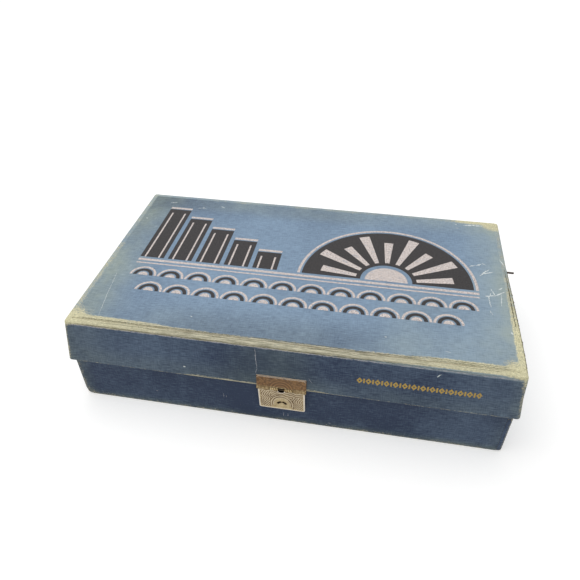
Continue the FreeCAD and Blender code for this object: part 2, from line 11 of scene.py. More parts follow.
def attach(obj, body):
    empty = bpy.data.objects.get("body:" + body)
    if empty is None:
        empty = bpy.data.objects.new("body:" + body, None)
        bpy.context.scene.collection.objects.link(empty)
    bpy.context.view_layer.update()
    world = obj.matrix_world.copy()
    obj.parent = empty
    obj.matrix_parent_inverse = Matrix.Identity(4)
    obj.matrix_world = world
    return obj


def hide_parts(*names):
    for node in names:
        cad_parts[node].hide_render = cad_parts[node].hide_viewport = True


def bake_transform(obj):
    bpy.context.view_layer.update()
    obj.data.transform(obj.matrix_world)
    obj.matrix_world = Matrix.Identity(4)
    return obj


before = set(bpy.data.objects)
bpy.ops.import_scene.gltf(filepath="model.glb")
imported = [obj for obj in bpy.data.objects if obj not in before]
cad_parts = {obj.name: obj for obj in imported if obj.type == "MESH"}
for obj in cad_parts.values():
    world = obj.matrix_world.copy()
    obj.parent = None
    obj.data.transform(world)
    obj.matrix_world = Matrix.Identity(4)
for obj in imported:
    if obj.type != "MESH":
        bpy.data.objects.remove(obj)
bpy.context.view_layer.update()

# Pressed boards: walls, floors, rail and deck of the base, the drawer's tray and the lid's boards.
# They are cut from grey-brown strawboard, a sheet of pressed straw pulp, and glued edge to edge.
# Cloth or paper hides most of them; inside the lid and the drawer the bare board shows.
MM = 0.001
AS_COLOUR = {"data_type": "RGBA", "out": 2}
SOFT_ENDS = {"interpolation_type": "SMOOTHSTEP"}


def linear(code):
    """A colour written as sRGB hex, as the linear colour that a shader takes."""
    parts = [int(code[at:at + 2], 16) / 255 for at in (0, 2, 4)]
    return [part / 12.92 if part <= 0.04045 else ((part + 0.055) / 1.055) ** 2.4 for part in parts] + [1]


def new_finish(name):
    """An empty material and its node tree."""
    finish = bpy.data.materials.new(name)
    finish.use_nodes = True
    finish.node_tree.nodes.clear()
    return finish, finish.node_tree


def add(tree, kind, sockets=None, out=0, **settings):
    """Add a node with its settings, link or set its sockets, and give back one of its outputs."""
    made = tree.nodes.new("ShaderNode" + kind)
    for name, value in settings.items():
        setattr(made, name, value)
    for name, value in (sockets or {}).items():
        if isinstance(value, bpy.types.NodeSocket):
            tree.links.new(value, made.inputs[name])
        else:
            made.inputs[name].default_value = linear(value) if isinstance(value, str) else value
    return made.outputs[out] if len(made.outputs) else None


def dress(finish, *names):
    """Give carried-over pieces a finish."""
    for name in names:
        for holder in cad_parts[name].material_slots:
            holder.material = finish


# Strawboard is dull and felted: a mottle of about 9 mm, straw flecks 4 mm long and a rough, dry face.
strawboard, tree = new_finish("pressed_strawboard")
spot = add(tree, "TexCoord", out="Object")
mottle = add(tree, "TexNoise", {"Vector": spot, "Scale": 1000 / 9, "Detail": 5, "Roughness": 0.6})
along_straw = add(tree, "Mapping", {"Vector": spot, "Scale": (1000 / 4, 1000 / 1.1, 1000 / 1.1)})
straw = add(tree, "TexNoise", {"Vector": along_straw, "Scale": 1, "Detail": 2})
fleck = add(tree, "MapRange", {"Value": straw, "From Min": 0.58, "From Max": 0.68}, **SOFT_ENDS)
pulp = add(tree, "Mix", {0: mottle, 6: "7A6547", 7: "A58F6B"}, **AS_COLOUR)
add(tree, "OutputMaterial", {"Surface": add(tree, "BsdfPrincipled", {
    "Base Color": add(tree, "Mix", {0: fleck, 6: pulp, 7: "B5A077"}, **AS_COLOUR),
    "Roughness": 0.9, "IOR": 1.45,
    "Normal": add(tree, "Bump", {"Height": mottle, "Strength": 0.35, "Distance": 0.3 * MM})})})
dress(strawboard, "base_front_wall", "base_back_wall", "base_left_wall", "base_right_rail",
      "base_bottom_board", "deck_board", "drawer_front_board", "drawer_bottom", "drawer_near_side",
      "drawer_far_side", "drawer_inner_end", "lid_top_board", "lid_front_skirt", "lid_left_skirt",
      "lid_right_skirt", "lid_back_wall")

# Neck and dividers: thin smooth card that stands inside the walls, and the partitions of the bays.
# It is calendered buff card, cut with a knife and glued in; the lid closes over the neck.
# Card has a slight gloss, faint long fibres about 6 mm by 0.5 mm and grey rub marks.
buff_card, tree = new_finish("buff_calendered_card")
spot = add(tree, "TexCoord", out="Object")
along_fibre = add(tree, "Mapping", {"Vector": spot, "Scale": (1000 / 6, 1000 / 6, 1000 / 0.5)})
fibre = add(tree, "TexNoise", {"Vector": along_fibre, "Scale": 1, "Detail": 3})
rub = add(tree, "TexNoise", {"Vector": spot, "Scale": 1000 / 22, "Detail": 4, "Roughness": 0.65})
rubbed = add(tree, "MapRange", {"Value": rub, "From Min": 0.45, "From Max": 0.7, "To Max": 0.55})
card_colour = add(tree, "Mix", {0: fibre, 6: "B49F78", 7: "CDBB95"}, **AS_COLOUR)
add(tree, "OutputMaterial", {"Surface": add(tree, "BsdfPrincipled", {
    "Base Color": add(tree, "Mix", {0: rubbed, 6: card_colour, 7: "9C8D70"}, **AS_COLOUR), "IOR": 1.48,
    "Roughness": add(tree, "MapRange", {"Value": rub, "To Min": 0.5, "To Max": 0.75}),
    "Normal": add(tree, "Bump", {"Height": fibre, "Strength": 0.2, "Distance": 0.1 * MM})})})
dress(buff_card, "neck_front_board", "neck_back_board", "neck_left_board", "neck_right_board", "long_divider",
      "cross_dividers")

# Linings: uncoated cream paper pasted inside the lid and on the deck, and under the base.
# Laid flat with starch paste, it has yellowed in clouds and shows foxing, brown spots about 3 mm across.
cream_paper, tree = new_finish("cream_uncoated_paper")
spot = add(tree, "TexCoord", out="Object")
cloud = add(tree, "TexNoise", {"Vector": spot, "Scale": 1000 / 40, "Detail": 5, "Roughness": 0.6})
tooth = add(tree, "TexNoise", {"Vector": spot, "Scale": 1000 / 0.8, "Detail": 2})
foxing = add(tree, "TexVoronoi", {"Vector": spot, "Scale": 1000 / 26, "Randomness": 1})
ragged = add(tree, "TexNoise", {"Vector": spot, "Scale": 1000 / 2.2, "Detail": 4, "Roughness": 0.7})
blur = add(tree, "MapRange", {"Value": ragged, "To Min": -0.1, "To Max": 0.1})
near_spot = add(tree, "Math", {0: foxing, 1: blur}, operation="ADD")
fox = add(tree, "MapRange", {"Value": near_spot, "From Min": 0.12, "From Max": 0.0, "To Max": 0.55},
          **SOFT_ENDS)
yellowed = add(tree, "Mix", {0: cloud, 6: "C9B98E", 7: "E2D8B8"}, **AS_COLOUR)
add(tree, "OutputMaterial", {"Surface": add(tree, "BsdfPrincipled", {
    "Base Color": add(tree, "Mix", {0: fox, 6: yellowed, 7: "A98452"}, **AS_COLOUR),
    "Roughness": 0.88, "IOR": 1.47,
    "Normal": add(tree, "Bump", {"Height": tooth, "Strength": 0.25, "Distance": 0.08 * MM})})})
dress(cream_paper, "deck_lining", "lid_lining", "base_bottom_paper")

# Cover of the base: one strip of blue book cloth pasted round the walls and turned in at top and bottom.
# Book cloth is cotton filled with starch and dyed; this one kept its dark blue where the lid shaded it.
# It runs round the left end, over a lower edge that has been crushed round, and stops at the drawer's mouth.
BASE_HALF, BASE_BACK, BASE_CORNER = 136.0, 78.0, 2.2
WALL_TOP, RAIL_LOW, MOUTH_END = 34.7, 31.5, 132.45
CRUSHED_ROUND = 5.8


def ease(value, start, end):
    """From 0 at start to 1 at end with soft ends, where start may lie past end."""
    share = np.clip((value - start) / (end - start), 0, 1)
    return share * share * (3 - 2 * share)


def uneven(points, wave, depth, seed):
    """A slow, uneven rise and fall at points in mm, as on a hand-covered board, of about the given depth."""
    dice = np.random.default_rng(seed)
    rise = np.zeros(points.shape[:-1])
    waves = 5
    for _ in range(waves):
        way = dice.normal(size=3)
        way *= 2 * math.pi / (np.linalg.norm(way) * wave * dice.uniform(0.7, 1.6))
        rise += np.sin(points @ way + dice.uniform(0, 2 * math.pi))
    return depth * rise / math.sqrt(waves)


def round_box(half, front, back, corner, inset, level, along=182, aside=104, bend=6, stop=None):
    """Points round an oblong with rounded corners, counter-clockwise from the left end of its front."""
    half, front, back = half - inset, front + inset, back - inset
    turn = max(corner - inset, 0.05)
    across = np.linspace(turn - half, half - turn, along)
    if stop is not None:
        across[np.argmin(abs(across - stop))] = stop
    deep = np.linspace(front + turn, back - turn, aside)
    arc = np.radians(np.linspace(0, 90, bend + 1)[1:-1])
    down, up = np.sin(arc) * turn, np.cos(arc) * turn
    x = [across, half - turn + down, np.full(aside, half), half - turn + up,
         across[::-1], turn - half - down, np.full(aside, -half), turn - half - up]
    y = [np.full(along, front), front + turn - up, deep, back - turn + down,
         np.full(along, back), back - turn + up, deep[::-1], front + turn - down]
    x, y = np.concatenate(x), np.concatenate(y)
    return np.stack([x, y, np.full(len(x), float(level))], 1)


def make_piece(name, points, faces, finish, spread=None):
    """A smooth mesh from points in mm, with its finish and, for cloth, its map in metres."""
    mesh = bpy.data.meshes.new(name)
    mesh.from_pydata((points * MM).tolist(), [], faces)
    if spread is not None:
        mesh.uv_layers.new(name="cloth").data.foreach_set("uv", spread.ravel())
    mesh.shade_smooth()
    mesh.materials.append(finish)
    piece = bpy.data.objects.new(name, mesh)
    bpy.context.scene.collection.objects.link(piece)
    return piece


def grid_faces(rows, columns, closed=False):
    """Row, column and corners of each square in a grid of points; a closed grid meets its own start."""
    across = columns if closed else columns - 1
    i, j = [part.ravel() for part in np.meshgrid(np.arange(rows - 1), np.arange(across), indexing="ij")]
    k = (j + 1) % columns
    return i, j, np.stack([i * columns + j, (i + 1) * columns + j, (i + 1) * columns + k, i * columns + k], 1)


def lay_sheet(name, rows, finish, closed=False, left_out=None):
    """A sheet from rows of points in mm; its map is its own run along and across."""
    rows = np.array(rows, float)
    count, columns = rows.shape[:2]
    middle = rows[count // 2]
    if closed:
        middle = np.concatenate([middle, middle[:1]])
    run = np.concatenate([[0], np.cumsum(np.linalg.norm(np.diff(middle, axis=0), axis=1))]) * MM
    fall = np.concatenate([[0], np.cumsum(np.linalg.norm(np.diff(rows, axis=0), axis=2).mean(1))]) * MM
    i, j, faces = grid_faces(count, columns, closed)
    spread = np.stack([run[j], fall[i], run[j], fall[i + 1], run[j + 1], fall[i + 1], run[j + 1], fall[i]], 1)
    points = rows.reshape(-1, 3)
    if left_out is not None:
        kept = ~left_out(points[faces].mean(1))
        used, faces = np.unique(faces[kept], return_inverse=True)
        points, faces, spread = points[used], faces.reshape(-1, 4), spread[kept]
    return make_piece(name, points, faces.tolist(), finish, spread)


def corners_of(piece):
    """A piece's points in mm."""
    return np.array([corner.co for corner in piece.data.vertices]) / MM


def mark(piece, **masks):
    """Keep a value from 0 to 1 at each point of a piece, such as how worn it is there."""
    for name, values in masks.items():
        layer = piece.data.attributes.new(name, "FLOAT", "POINT")
        layer.data.foreach_set("value", np.clip(values, 0, 1).astype(np.float32))


def crush(points):
    """Roll the lower left edge over, square to round, as the crushed board under it is."""
    points = points.copy()
    off = np.stack([points[:, 0] + BASE_HALF - CRUSHED_ROUND, points[:, 2] - CRUSHED_ROUND], 1)
    hit = (off < 0).all(1)
    reach = np.linalg.norm(off[hit], axis=1)
    off[hit] *= (abs(off[hit]).max(1) / np.maximum(reach, 1e-6))[:, None]
    points[:, 0], points[:, 2] = off[:, 0] + CRUSHED_ROUND - BASE_HALF, off[:, 1] + CRUSHED_ROUND
    return points


# Book cloth is matt, with slubs along the weft about 6 mm by 0.6 mm. Its threads, 0.4 mm apart, are drawn
# at 0.6 mm, since finer ones don't show here. Light fades it to grey-blue, hands soil it green-grey, and
# where the filler and dye are rubbed off the cotton shows, in strands about 10 mm by 0.75 mm and broken up
# by lint, grey at first and cream where it is quite bare. Masks on each piece say where.
book_cloth, tree = new_finish("blue_starch_filled_book_cloth")
spot = add(tree, "TexCoord", out="Object")
weft = add(tree, "TexCoord", out="UV")
along_slub = add(tree, "Mapping", {"Vector": weft, "Scale": (1000 / 6, 1000 / 0.6, 1)})
slub = add(tree, "TexNoise", {"Vector": along_slub, "Scale": 1, "Detail": 3, "Roughness": 0.65})
along_warp = add(tree, "Mapping", {"Vector": weft, "Scale": (1000 / 0.6, 1000 / 5, 1)})
warp = add(tree, "TexNoise", {"Vector": along_warp, "Scale": 1, "Detail": 2})
along_lint = add(tree, "Mapping", {"Vector": weft, "Scale": (1000 / 1.6, 1000 / 0.7, 1)})
lint = add(tree, "TexNoise", {"Vector": along_lint, "Scale": 1, "Detail": 4, "Roughness": 0.75})
along_strand = add(tree, "Mapping", {"Vector": weft, "Scale": (1000 / 10, 1000 / 0.75, 1)})
strand = add(tree, "TexNoise", {"Vector": along_strand, "Scale": 1, "Detail": 2, "Roughness": 0.6})
patch = add(tree, "TexNoise", {"Vector": spot, "Scale": 1000 / 38, "Detail": 4, "Roughness": 0.6})
rub = add(tree, "TexNoise", {"Vector": spot, "Scale": 1000 / 7, "Detail": 3, "Roughness": 0.6})
threads = add(tree, "Mix", {0: 0.28, 2: slub, 3: warp}, data_type="FLOAT")

faded_here = add(tree, "Attribute", out="Fac", attribute_name="fade")
patchy = add(tree, "MapRange", {"Value": patch, "From Min": 0.25, "From Max": 0.75,
                                "To Min": -0.12, "To Max": 0.12})
fade = add(tree, "Math", {0: faded_here, 1: patchy}, operation="ADD")
streak = add(tree, "MapRange", {"Value": threads, "From Min": 0.3, "From Max": 0.7,
                                "To Min": -0.34, "To Max": 0.34}, clamp=False)
depth = add(tree, "MapRange", {"Value": faded_here, "To Min": 0.7, "To Max": 1.0})
streak_depth = add(tree, "Math", {0: streak, 1: depth}, operation="MULTIPLY")
fade_threads = add(tree, "Math", {0: fade, 1: streak_depth}, operation="ADD", use_clamp=True)
dye = add(tree, "Mix", {0: fade_threads, 6: "293750", 7: "8AA2BA"}, **AS_COLOUR)

soiled_here = add(tree, "Attribute", out="Fac", attribute_name="soil")
cloudy = add(tree, "MapRange", {"Value": patch, "From Min": 0.3, "From Max": 0.65,
                                "To Min": 0.25, "To Max": 0.8})
soil = add(tree, "Math", {0: soiled_here, 1: cloudy}, operation="MULTIPLY")
soil_colour = add(tree, "Mix", {0: fade_threads, 6: "515F5E", 7: "A6B0A2"}, **AS_COLOUR)
soiled = add(tree, "Mix", {0: soil, 6: dye, 7: soil_colour}, **AS_COLOUR)

worn_here = add(tree, "Attribute", out="Fac", attribute_name="wear")
rub_edge = add(tree, "MapRange", {"Value": rub, "From Min": 0.3, "From Max": 0.7,
                                  "To Min": -0.16, "To Max": 0.16})
lint_edge = add(tree, "MapRange", {"Value": lint, "From Min": 0.3, "From Max": 0.7,
                                   "To Min": -0.4, "To Max": 0.4}, clamp=False)
rubbed = add(tree, "Math", {0: worn_here, 1: rub_edge}, operation="ADD")
bite = add(tree, "Math", {0: rubbed, 1: lint_edge}, operation="ADD")
worn = add(tree, "MapRange", {"Value": bite, "From Min": 0.32, "From Max": 0.8, "To Max": 0.96}, **SOFT_ENDS)
speckled = add(tree, "Mix", {0: 0.35, 2: strand, 3: lint}, data_type="FLOAT")
greyness = add(tree, "MapRange", {"Value": speckled, "From Min": 0.38, "From Max": 0.62})
grey_cotton = add(tree, "Mix", {0: greyness, 6: "8A8670", 7: "D4CEB4"}, **AS_COLOUR)
creaminess = add(tree, "MapRange", {"Value": lint, "From Min": 0.3, "From Max": 0.64})
cream_cotton = add(tree, "Mix", {0: creaminess, 6: "A29C74", 7: "EFE9C3"}, **AS_COLOUR)
bare_here = add(tree, "Attribute", out="Fac", attribute_name="bare")
cotton = add(tree, "Mix", {0: bare_here, 6: grey_cotton, 7: cream_cotton}, **AS_COLOUR)

ribs = add(tree, "Math", {0: threads, 1: lint}, operation="ADD")
add(tree, "OutputMaterial", {"Surface": add(tree, "BsdfPrincipled", {
    "Base Color": add(tree, "Mix", {0: worn, 6: soiled, 7: cotton}, **AS_COLOUR),
    "IOR": 1.5, "Specular IOR Level": 0.35,
    "Roughness": add(tree, "MapRange", {"Value": worn, "To Min": 0.72, "To Max": 0.95}),
    "Normal": add(tree, "Bump", {"Height": ribs, "Strength": 0.4, "Distance": 0.14 * MM})})})

# Each step down the strip is an inset from the base's outline and a level.
turned_in = [(inset, WALL_TOP + rise) for inset, rise in (
    (2.9, 0.02), (2.0, 0.06), (1.0, 0.06), (0.4, -0.02), (0.1, -0.25), (0, -0.7), (0, -1.8))]
down_the_wall = [(0, level) for level in (RAIL_LOW, *np.linspace(RAIL_LOW - 1.5, 2.4, 20))]
under_the_edge = [(0, 1.3), (0.1, 0.7), (0.4, 0.25), (0.9, 0.05), (1.6, 0.02), (2.4, 0.1)]
base_rows = [crush(round_box(BASE_HALF, -BASE_BACK, BASE_BACK, BASE_CORNER, inset, level, stop=MOUTH_END))
             for inset, level in turned_in + down_the_wall + under_the_edge]
base_cover = lay_sheet("base_cover", base_rows, book_cloth, closed=True,
                       left_out=lambda middle: (middle[:, 0] > MOUTH_END) & (middle[:, 2] < RAIL_LOW))
at = corners_of(base_cover)
x, y, z = at.T
upright = np.hypot(BASE_HALF - abs(x), BASE_BACK - abs(y))
left_end = np.where(x > 0, np.inf, upright)
crushed = np.hypot(x + BASE_HALF, z) + BASE_BACK + y
# It is palest at its ends and foot; round the clasp it is painted darker, as painted shade of the clasp;
# its lower edge and corners are soiled.
mark(base_cover,
     fade=(0.04 + 0.04 * ease(z, 12, 0) + 0.06 * ease(x, -70, -125) + 0.06 * ease(x, 40, 120)
           - 0.1 * ease(np.hypot(x - 2, z - 20), 46, 18) + uneven(at, 50, 0.065, 3)),
     soil=0.75 * ease(z, 7, 1) + 0.3 * ease(upright, 14, 2) + 0.45 * ease(left_end, 12, 2),
     wear=np.maximum.reduce([0.62 * ease(z, 2.0, 0.5), 0.42 * ease(z, 4.5, 1.2),
                             0.52 * ease(upright, 2.4, 0.6), 0.42 * ease(left_end, 6, 2),
                             0.5 * ease(crushed, 15, 5)]))
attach(base_cover, "base")
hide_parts("base_cloth")

# Drawer front: the same cloth over the drawer's front board, which closes the right end of the case.
# The cloth goes round both ends and is turned over the top and bottom edges of the board.
FRONT_INNER, FRONT_LIFT, FRONT_TOP = 132.6, 0.8, 31.1


def end_wrap(inset, level):
    """Points from the near end of the drawer front, round its two corners, to its far end."""
    ring = round_box(BASE_HALF, -BASE_BACK, BASE_BACK, BASE_CORNER, inset, level)
    ends = ring[(ring[:, 0] > BASE_HALF - max(BASE_CORNER, inset + 0.05) - 1e-6)]
    near, far = ends[0].copy(), ends[-1].copy()
    near[0] = far[0] = FRONT_INNER
    return np.concatenate([[near], ends, [far]])


edge_roll = ((2.15, 0.04), (1.4, 0.07), (0.6, 0.04), (0.2, -0.1), (0.03, -0.4), (0, -0.9))
over_the_top = [(inset, FRONT_TOP + rise) for inset, rise in edge_roll]
face = [(0, level) for level in np.linspace(FRONT_TOP - 1.9, FRONT_LIFT + 1.9, 20)]
below = [(inset, FRONT_LIFT - rise) for inset, rise in reversed(edge_roll)]
drawer_cover = lay_sheet("drawer_front_cover", [end_wrap(*step) for step in over_the_top + face + below],
                         book_cloth)
at = corners_of(drawer_cover)
x, y, z = at.T
upright = np.hypot(BASE_HALF - x, BASE_BACK - abs(y))
# Fingers have soiled it round the knob.
mark(drawer_cover,
     fade=0.11 + uneven(at, 45, 0.06, 5),
     soil=0.5 * ease(np.hypot(y, z - 16), 34, 8) + 0.3 * ease(z, 8, 0),
     wear=np.maximum.reduce([0.62 * ease(upright, 2.4, 0.5), 0.55 * ease(z, 2.2, 0.9),
                             0.5 * ease(z, FRONT_TOP - 1, FRONT_TOP)]))
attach(drawer_cover, "drawer")
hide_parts("drawer_front_cloth")

# Drawer pull: a knob turned from brass bar, with its stem through the front and peened over a washer.
# Brass dulls to brown in patches about 2.5 mm across and stays bright between them. Its turning marks, a
# fraction of a millimetre apart, are drawn at 1.57 mm, since finer ones don't show here.
WAVE_TURNS = 20 / (2 * math.pi)  # that the wave texture makes in each unit of length
dull_brass, tree = new_finish("turned_brass_dulled")
spot = add(tree, "TexCoord", out="Object")
tarnish = add(tree, "TexNoise", {"Vector": spot, "Scale": 1000 / 2.5, "Detail": 4, "Roughness": 0.6})
turning = add(tree, "TexWave", {"Vector": spot, "Scale": 1000 / 1.5708 / WAVE_TURNS, "Distortion": 0.5},
              bands_direction="X")
add(tree, "OutputMaterial", {"Surface": add(tree, "BsdfPrincipled", {
    "Base Color": add(tree, "Mix", {0: tarnish, 6: "7C5B2A", 7: "D2AC62"}, **AS_COLOUR), "Metallic": 1.0,
    "Roughness": add(tree, "MapRange", {"Value": tarnish, "To Min": 0.55, "To Max": 0.28}),
    "Normal": add(tree, "Bump", {"Height": turning, "Strength": 0.12, "Distance": 0.05 * MM})})})
dress(dull_brass, "drawer_knob", "knob_washer")

# Catch: a small plate of the clasp's metal on the base's front wall, held by two round-headed pins.
# Stamped from pale brass sheet and lacquered; the lacquer has yellowed and worn to a matt, cream-gold face,
# with brown blotches about 5 mm across and dirt in its hollows.
pale_brass, tree = new_finish("stamped_pale_brass")
spot = add(tree, "TexCoord", out="Object")
blotch = add(tree, "TexNoise", {"Vector": spot, "Scale": 1000 / 5, "Detail": 5, "Roughness": 0.65})
grit = add(tree, "TexNoise", {"Vector": spot, "Scale": 1000 / 0.7, "Detail": 2})
# The soil mask holds dirt in hollows and, round the hasp's holes, painted shade; the wear mask holds rubbed
# crests and painted highlights on the leaf's bead and round the hasp's eye.
grime_and_hole_shade = add(tree, "Attribute", out="Fac", attribute_name="soil")
bright = add(tree, "Attribute", out="Fac", attribute_name="wear")
blotched = add(tree, "MapRange", {"Value": blotch, "From Min": 0.42, "From Max": 0.75, "To Max": 0.35})
grime_and_shade = add(tree, "Math", {0: grime_and_hole_shade, 1: blotched}, operation="ADD", use_clamp=True)
lacquer = add(tree, "Mix", {0: grit, 6: "B5A27B", 7: "DDCFA9"}, **AS_COLOUR)
brownness = add(tree, "MapRange", {"Value": grime_and_shade, "From Max": 0.6})
browned = add(tree, "Mix", {0: brownness, 6: lacquer, 7: "83693F"}, **AS_COLOUR)
blackness = add(tree, "MapRange", {"Value": grime_and_shade, "From Min": 0.6, "From Max": 1.0})
blackened = add(tree, "Mix", {0: blackness, 6: browned, 7: "2E2213"}, **AS_COLOUR)
add(tree, "OutputMaterial", {"Surface": add(tree, "BsdfPrincipled", {
    "Base Color": add(tree, "Mix", {0: bright, 6: blackened, 7: "F1EBE7"}, **AS_COLOUR), "Metallic": 0.75,
    "Roughness": add(tree, "MapRange", {"Value": grime_and_shade, "To Min": 0.42, "To Max": 0.75}),
    "Normal": add(tree, "Bump", {"Height": grit, "Strength": 0.15, "Distance": 0.06 * MM})})})
dress(pale_brass, "catch_plate", "catch_pins")

# Cover of the lid's skirt: a strip of the book cloth round the leaning sides of the lid.
# It is turned over onto the top, where the top cloth meets it, and round the lower edge to the inside.
# The front edge, rubbed bare by hands, shows a band of cream cotton, and so do the corners.
LID_HALF, LID_FRONT, LID_BACK, LID_TOP = 135.0, -77.0, 78.0, 66.0
SKIRT_DEPTH, SKIRT_FLARE, LID_CORNER, LID_EDGE, TURN_OVER = 31.0, 3.4, 2.2, 1.4, 3.8
SKIRT_LOW = LID_TOP - SKIRT_DEPTH
SPLIT_START, SPLIT_RUN, SPLIT_STAND, SPLIT_DROP = 22.0, 62.0, 1.2, 18.0


def lid_ring(inset, level):
    """Points round the lid at a height, with its lean, inside its outline by an inset."""
    lean = SKIRT_FLARE * (LID_TOP - level) / SKIRT_DEPTH
    return round_box(LID_HALF + lean, LID_FRONT - lean, LID_BACK, LID_CORNER, inset, level)


def split_stand(y):
    """How far the cloth stands off the right rim, where it has split in front of the loose brad, in mm."""
    share = np.clip((SPLIT_START - y) / SPLIT_RUN, 0, 1) ** 0.6
    return SPLIT_STAND * share * (1 - 0.3 * ease(y, -60, LID_FRONT))


on_the_top = [(TURN_OVER, LID_TOP - 0.3), (TURN_OVER - 0.03, LID_TOP - 0.08), (TURN_OVER - 0.3, LID_TOP),
              (2.9, LID_TOP + 0.02), (2.1, LID_TOP + 0.02), (LID_EDGE, LID_TOP)]
over_the_edge = [(LID_EDGE * (1 - math.sin(angle)), LID_TOP - LID_EDGE * (1 - math.cos(angle)))
                 for angle in np.radians(np.linspace(14, 84, 6))]
down_the_skirt = [(0, LID_TOP - drop) for drop in (
    1.55, 1.8, 2.05, 2.3, 2.7, 3.2, 4, 5, *np.linspace(6.3, 29.8, 19))]
round_the_hem = [(inset, SKIRT_LOW + rise) for inset, rise in (
    (0, 0.6), (0.06, 0.25), (0.3, 0), (0.8, -0.1), (1.4, -0.1), (1.9, 0.02), (2.15, 0.4),
    (2.2, 1.5), (2.2, 4), (2.2, 7), (2.2, 9), (2.05, 9.2))]
lid_rows = np.array([lid_ring(*step) for step in on_the_top + over_the_edge + down_the_skirt + round_the_hem])
x, y, z = np.moveaxis(lid_rows, 2, 0)
# These are views of the rows, so adding to them moves the points.
z += uneven(lid_rows, 70, 0.04, 11) * (z > 60)
x += (split_stand(y) * ease(x, LID_HALF - TURN_OVER, LID_HALF - 0.8)
      * ease(z, LID_TOP - SPLIT_DROP, LID_TOP - 1))
lid_skirt_cover = lay_sheet("lid_skirt_cover", lid_rows, book_cloth, closed=True)


def lid_reach(at):
    """Distances in from the lid's front, left, right and back, and down from its top."""
    lean = SKIRT_FLARE * (LID_TOP - at[:, 2]) / SKIRT_DEPTH
    return (at[:, 1] - LID_FRONT + lean, at[:, 0] + LID_HALF + lean, LID_HALF + lean - at[:, 0],
            LID_BACK - at[:, 1], LID_TOP - at[:, 2])


def edge_rub(at):
    """How rubbed the lid's cloth is, and how bare, in from its side and back edges and at its top corners."""
    front, left, right, back, drop = lid_reach(at)
    forward = ease(at[:, 1], 24, -50)
    left_rub = (0.42 + 0.12 * forward) * ease(left + 2.5 * drop, 7, 2)
    right_rub = (0.48 + 0.4 * forward) * ease(right + 2.5 * drop, 5.0, 2.2)
    back_rub = (0.32 + 0.6 * ease(right, 46, 18)) * ease(back + 2.5 * drop, 7, 3)
    corners = np.maximum.reduce([ease(np.hypot(front, left) + 4 * drop, 23, 6),
                                 ease(np.hypot(front, right) + 5 * drop, 20, 6),
                                 0.9 * ease(np.hypot(back, right) + 3 * drop, 19, 8)])
    rubbed = np.maximum.reduce([left_rub, right_rub, back_rub, corners])
    bare = np.maximum.reduce([corners, 0.4 * ease(left + drop, 9, 3), forward * ease(right + drop, 8, 4),
                              ease(right, 50, 20) * ease(back + drop, 8, 4)])
    return rubbed, bare


at = corners_of(lid_skirt_cover)
x = at[:, 0]
front, left, right, back, drop = lid_reach(at)
outside = 1 - ease(np.minimum.reduce([front, left, right, back]), 1.2, 1.8) * (drop > 3)
rubbed, bare = edge_rub(at)
# The worn band runs along the front edge; below it, most of all to the right, the cloth is half rubbed.
near_front = ease(front, 6, 4.5)
front_face = ease(front, 3, 1)
to_right = 0.5 * ease(x, 40, 95)
half_rubbed = near_front * ease(drop + to_right, 0.75, 1.15) * ease(x, 0, 70)
half_faded = np.maximum(ease(drop, 1.6, 0.3), half_rubbed * ease(drop - to_right, 2.4, 1.9))
band = near_front * ease(drop, 2.35, 1.9) * (1 - 0.85 * half_rubbed)
front_corner = np.minimum(np.hypot(front, left), np.hypot(front, right))
back_corner = np.minimum(np.hypot(back, left), np.hypot(back, right))
upright = np.maximum(0.56 * ease(front_corner, 3.0, 1.2), 0.6 * ease(back_corner, 2.2, 0.8))
# Thumbs that open the clasp have rubbed the hem beside it and soiled the cloth above.
left_thumb = ease(x, -66, -54) * ease(x, 0, -10)
right_thumb = ease(x, 8, 14) * ease(x, 32, 20)
thumbed = np.maximum(left_thumb, right_thumb) * front_face
hem = (0.55 + 0.4 * thumbed) * ease(drop, SKIRT_DEPTH - 1.0 - 0.7 * thumbed,
                                    SKIRT_DEPTH - 0.3 - 0.5 * thumbed)
clasp_soil = 0.5 * front_face * ease(np.hypot(x + 7, 0.8 * (drop - 26)), 38, 12)
mark(lid_skirt_cover,
     fade=(0.155 - 0.075 * ease(x, -30, 30) + 0.15 * ease(x, 55, 128) + 0.05 * ease(x, -90, -130)
           + 0.05 * ease(drop, 12, 28) + 0.72 * half_faded - 0.18 * clasp_soil
           + uneven(at, 55, 0.045, 17)) * (0.5 + 0.5 * outside),
     soil=(0.3 * ease(np.hypot(front, left), 40, 4) + 0.15 * ease(np.hypot(front, right), 40, 4)
           + 0.3 * ease(front_corner, 9, 2) + 0.4 * ease(drop, 14, 30)
           + clasp_soil + 0.9 * half_faded) * outside,
     wear=np.maximum.reduce([0.98 * band, rubbed, upright, hem]) * outside,
     bare=np.maximum(bare, 0.65 * near_front * ease(abs(x), 50, 115) * ease(drop, 1.4, 0.6)))
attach(lid_skirt_cover, "lid")
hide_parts("lid_skirt_cloth")

# Top cloth: a flat piece of the book cloth pasted on the lid inside the turned-over edge of the skirt cloth.
# Its cut edge leaves a fine seam, open and dark along the front. Light has faded it and its edges are soiled.
PANEL_HALF, PANEL_FRONT, PANEL_BACK, FRONT_SEAM = 131.3, -73.0, 74.3, 0.18


def lid_height(x, y):
    """Height of the top cloth's face, in mm."""
    flat = np.stack([x, y, np.zeros_like(x)], -1)
    return LID_TOP + uneven(flat, 64, 0.035, 23)


columns = np.linspace(-PANEL_HALF, PANEL_HALF, 190)
lines = np.linspace(PANEL_BACK, PANEL_FRONT + FRONT_SEAM, 110)
x, y = np.meshgrid(columns, np.append(lines, lines[-1]))
height = lid_height(x, y)
# The last two lines make the front edge, cut down to the board; the other edges meet the skirt cloth.
y[-2] += 0.25
height[-1] = LID_TOP - 0.35
height[0] = height[:, 0] = height[:, -1] = LID_TOP - 0.01
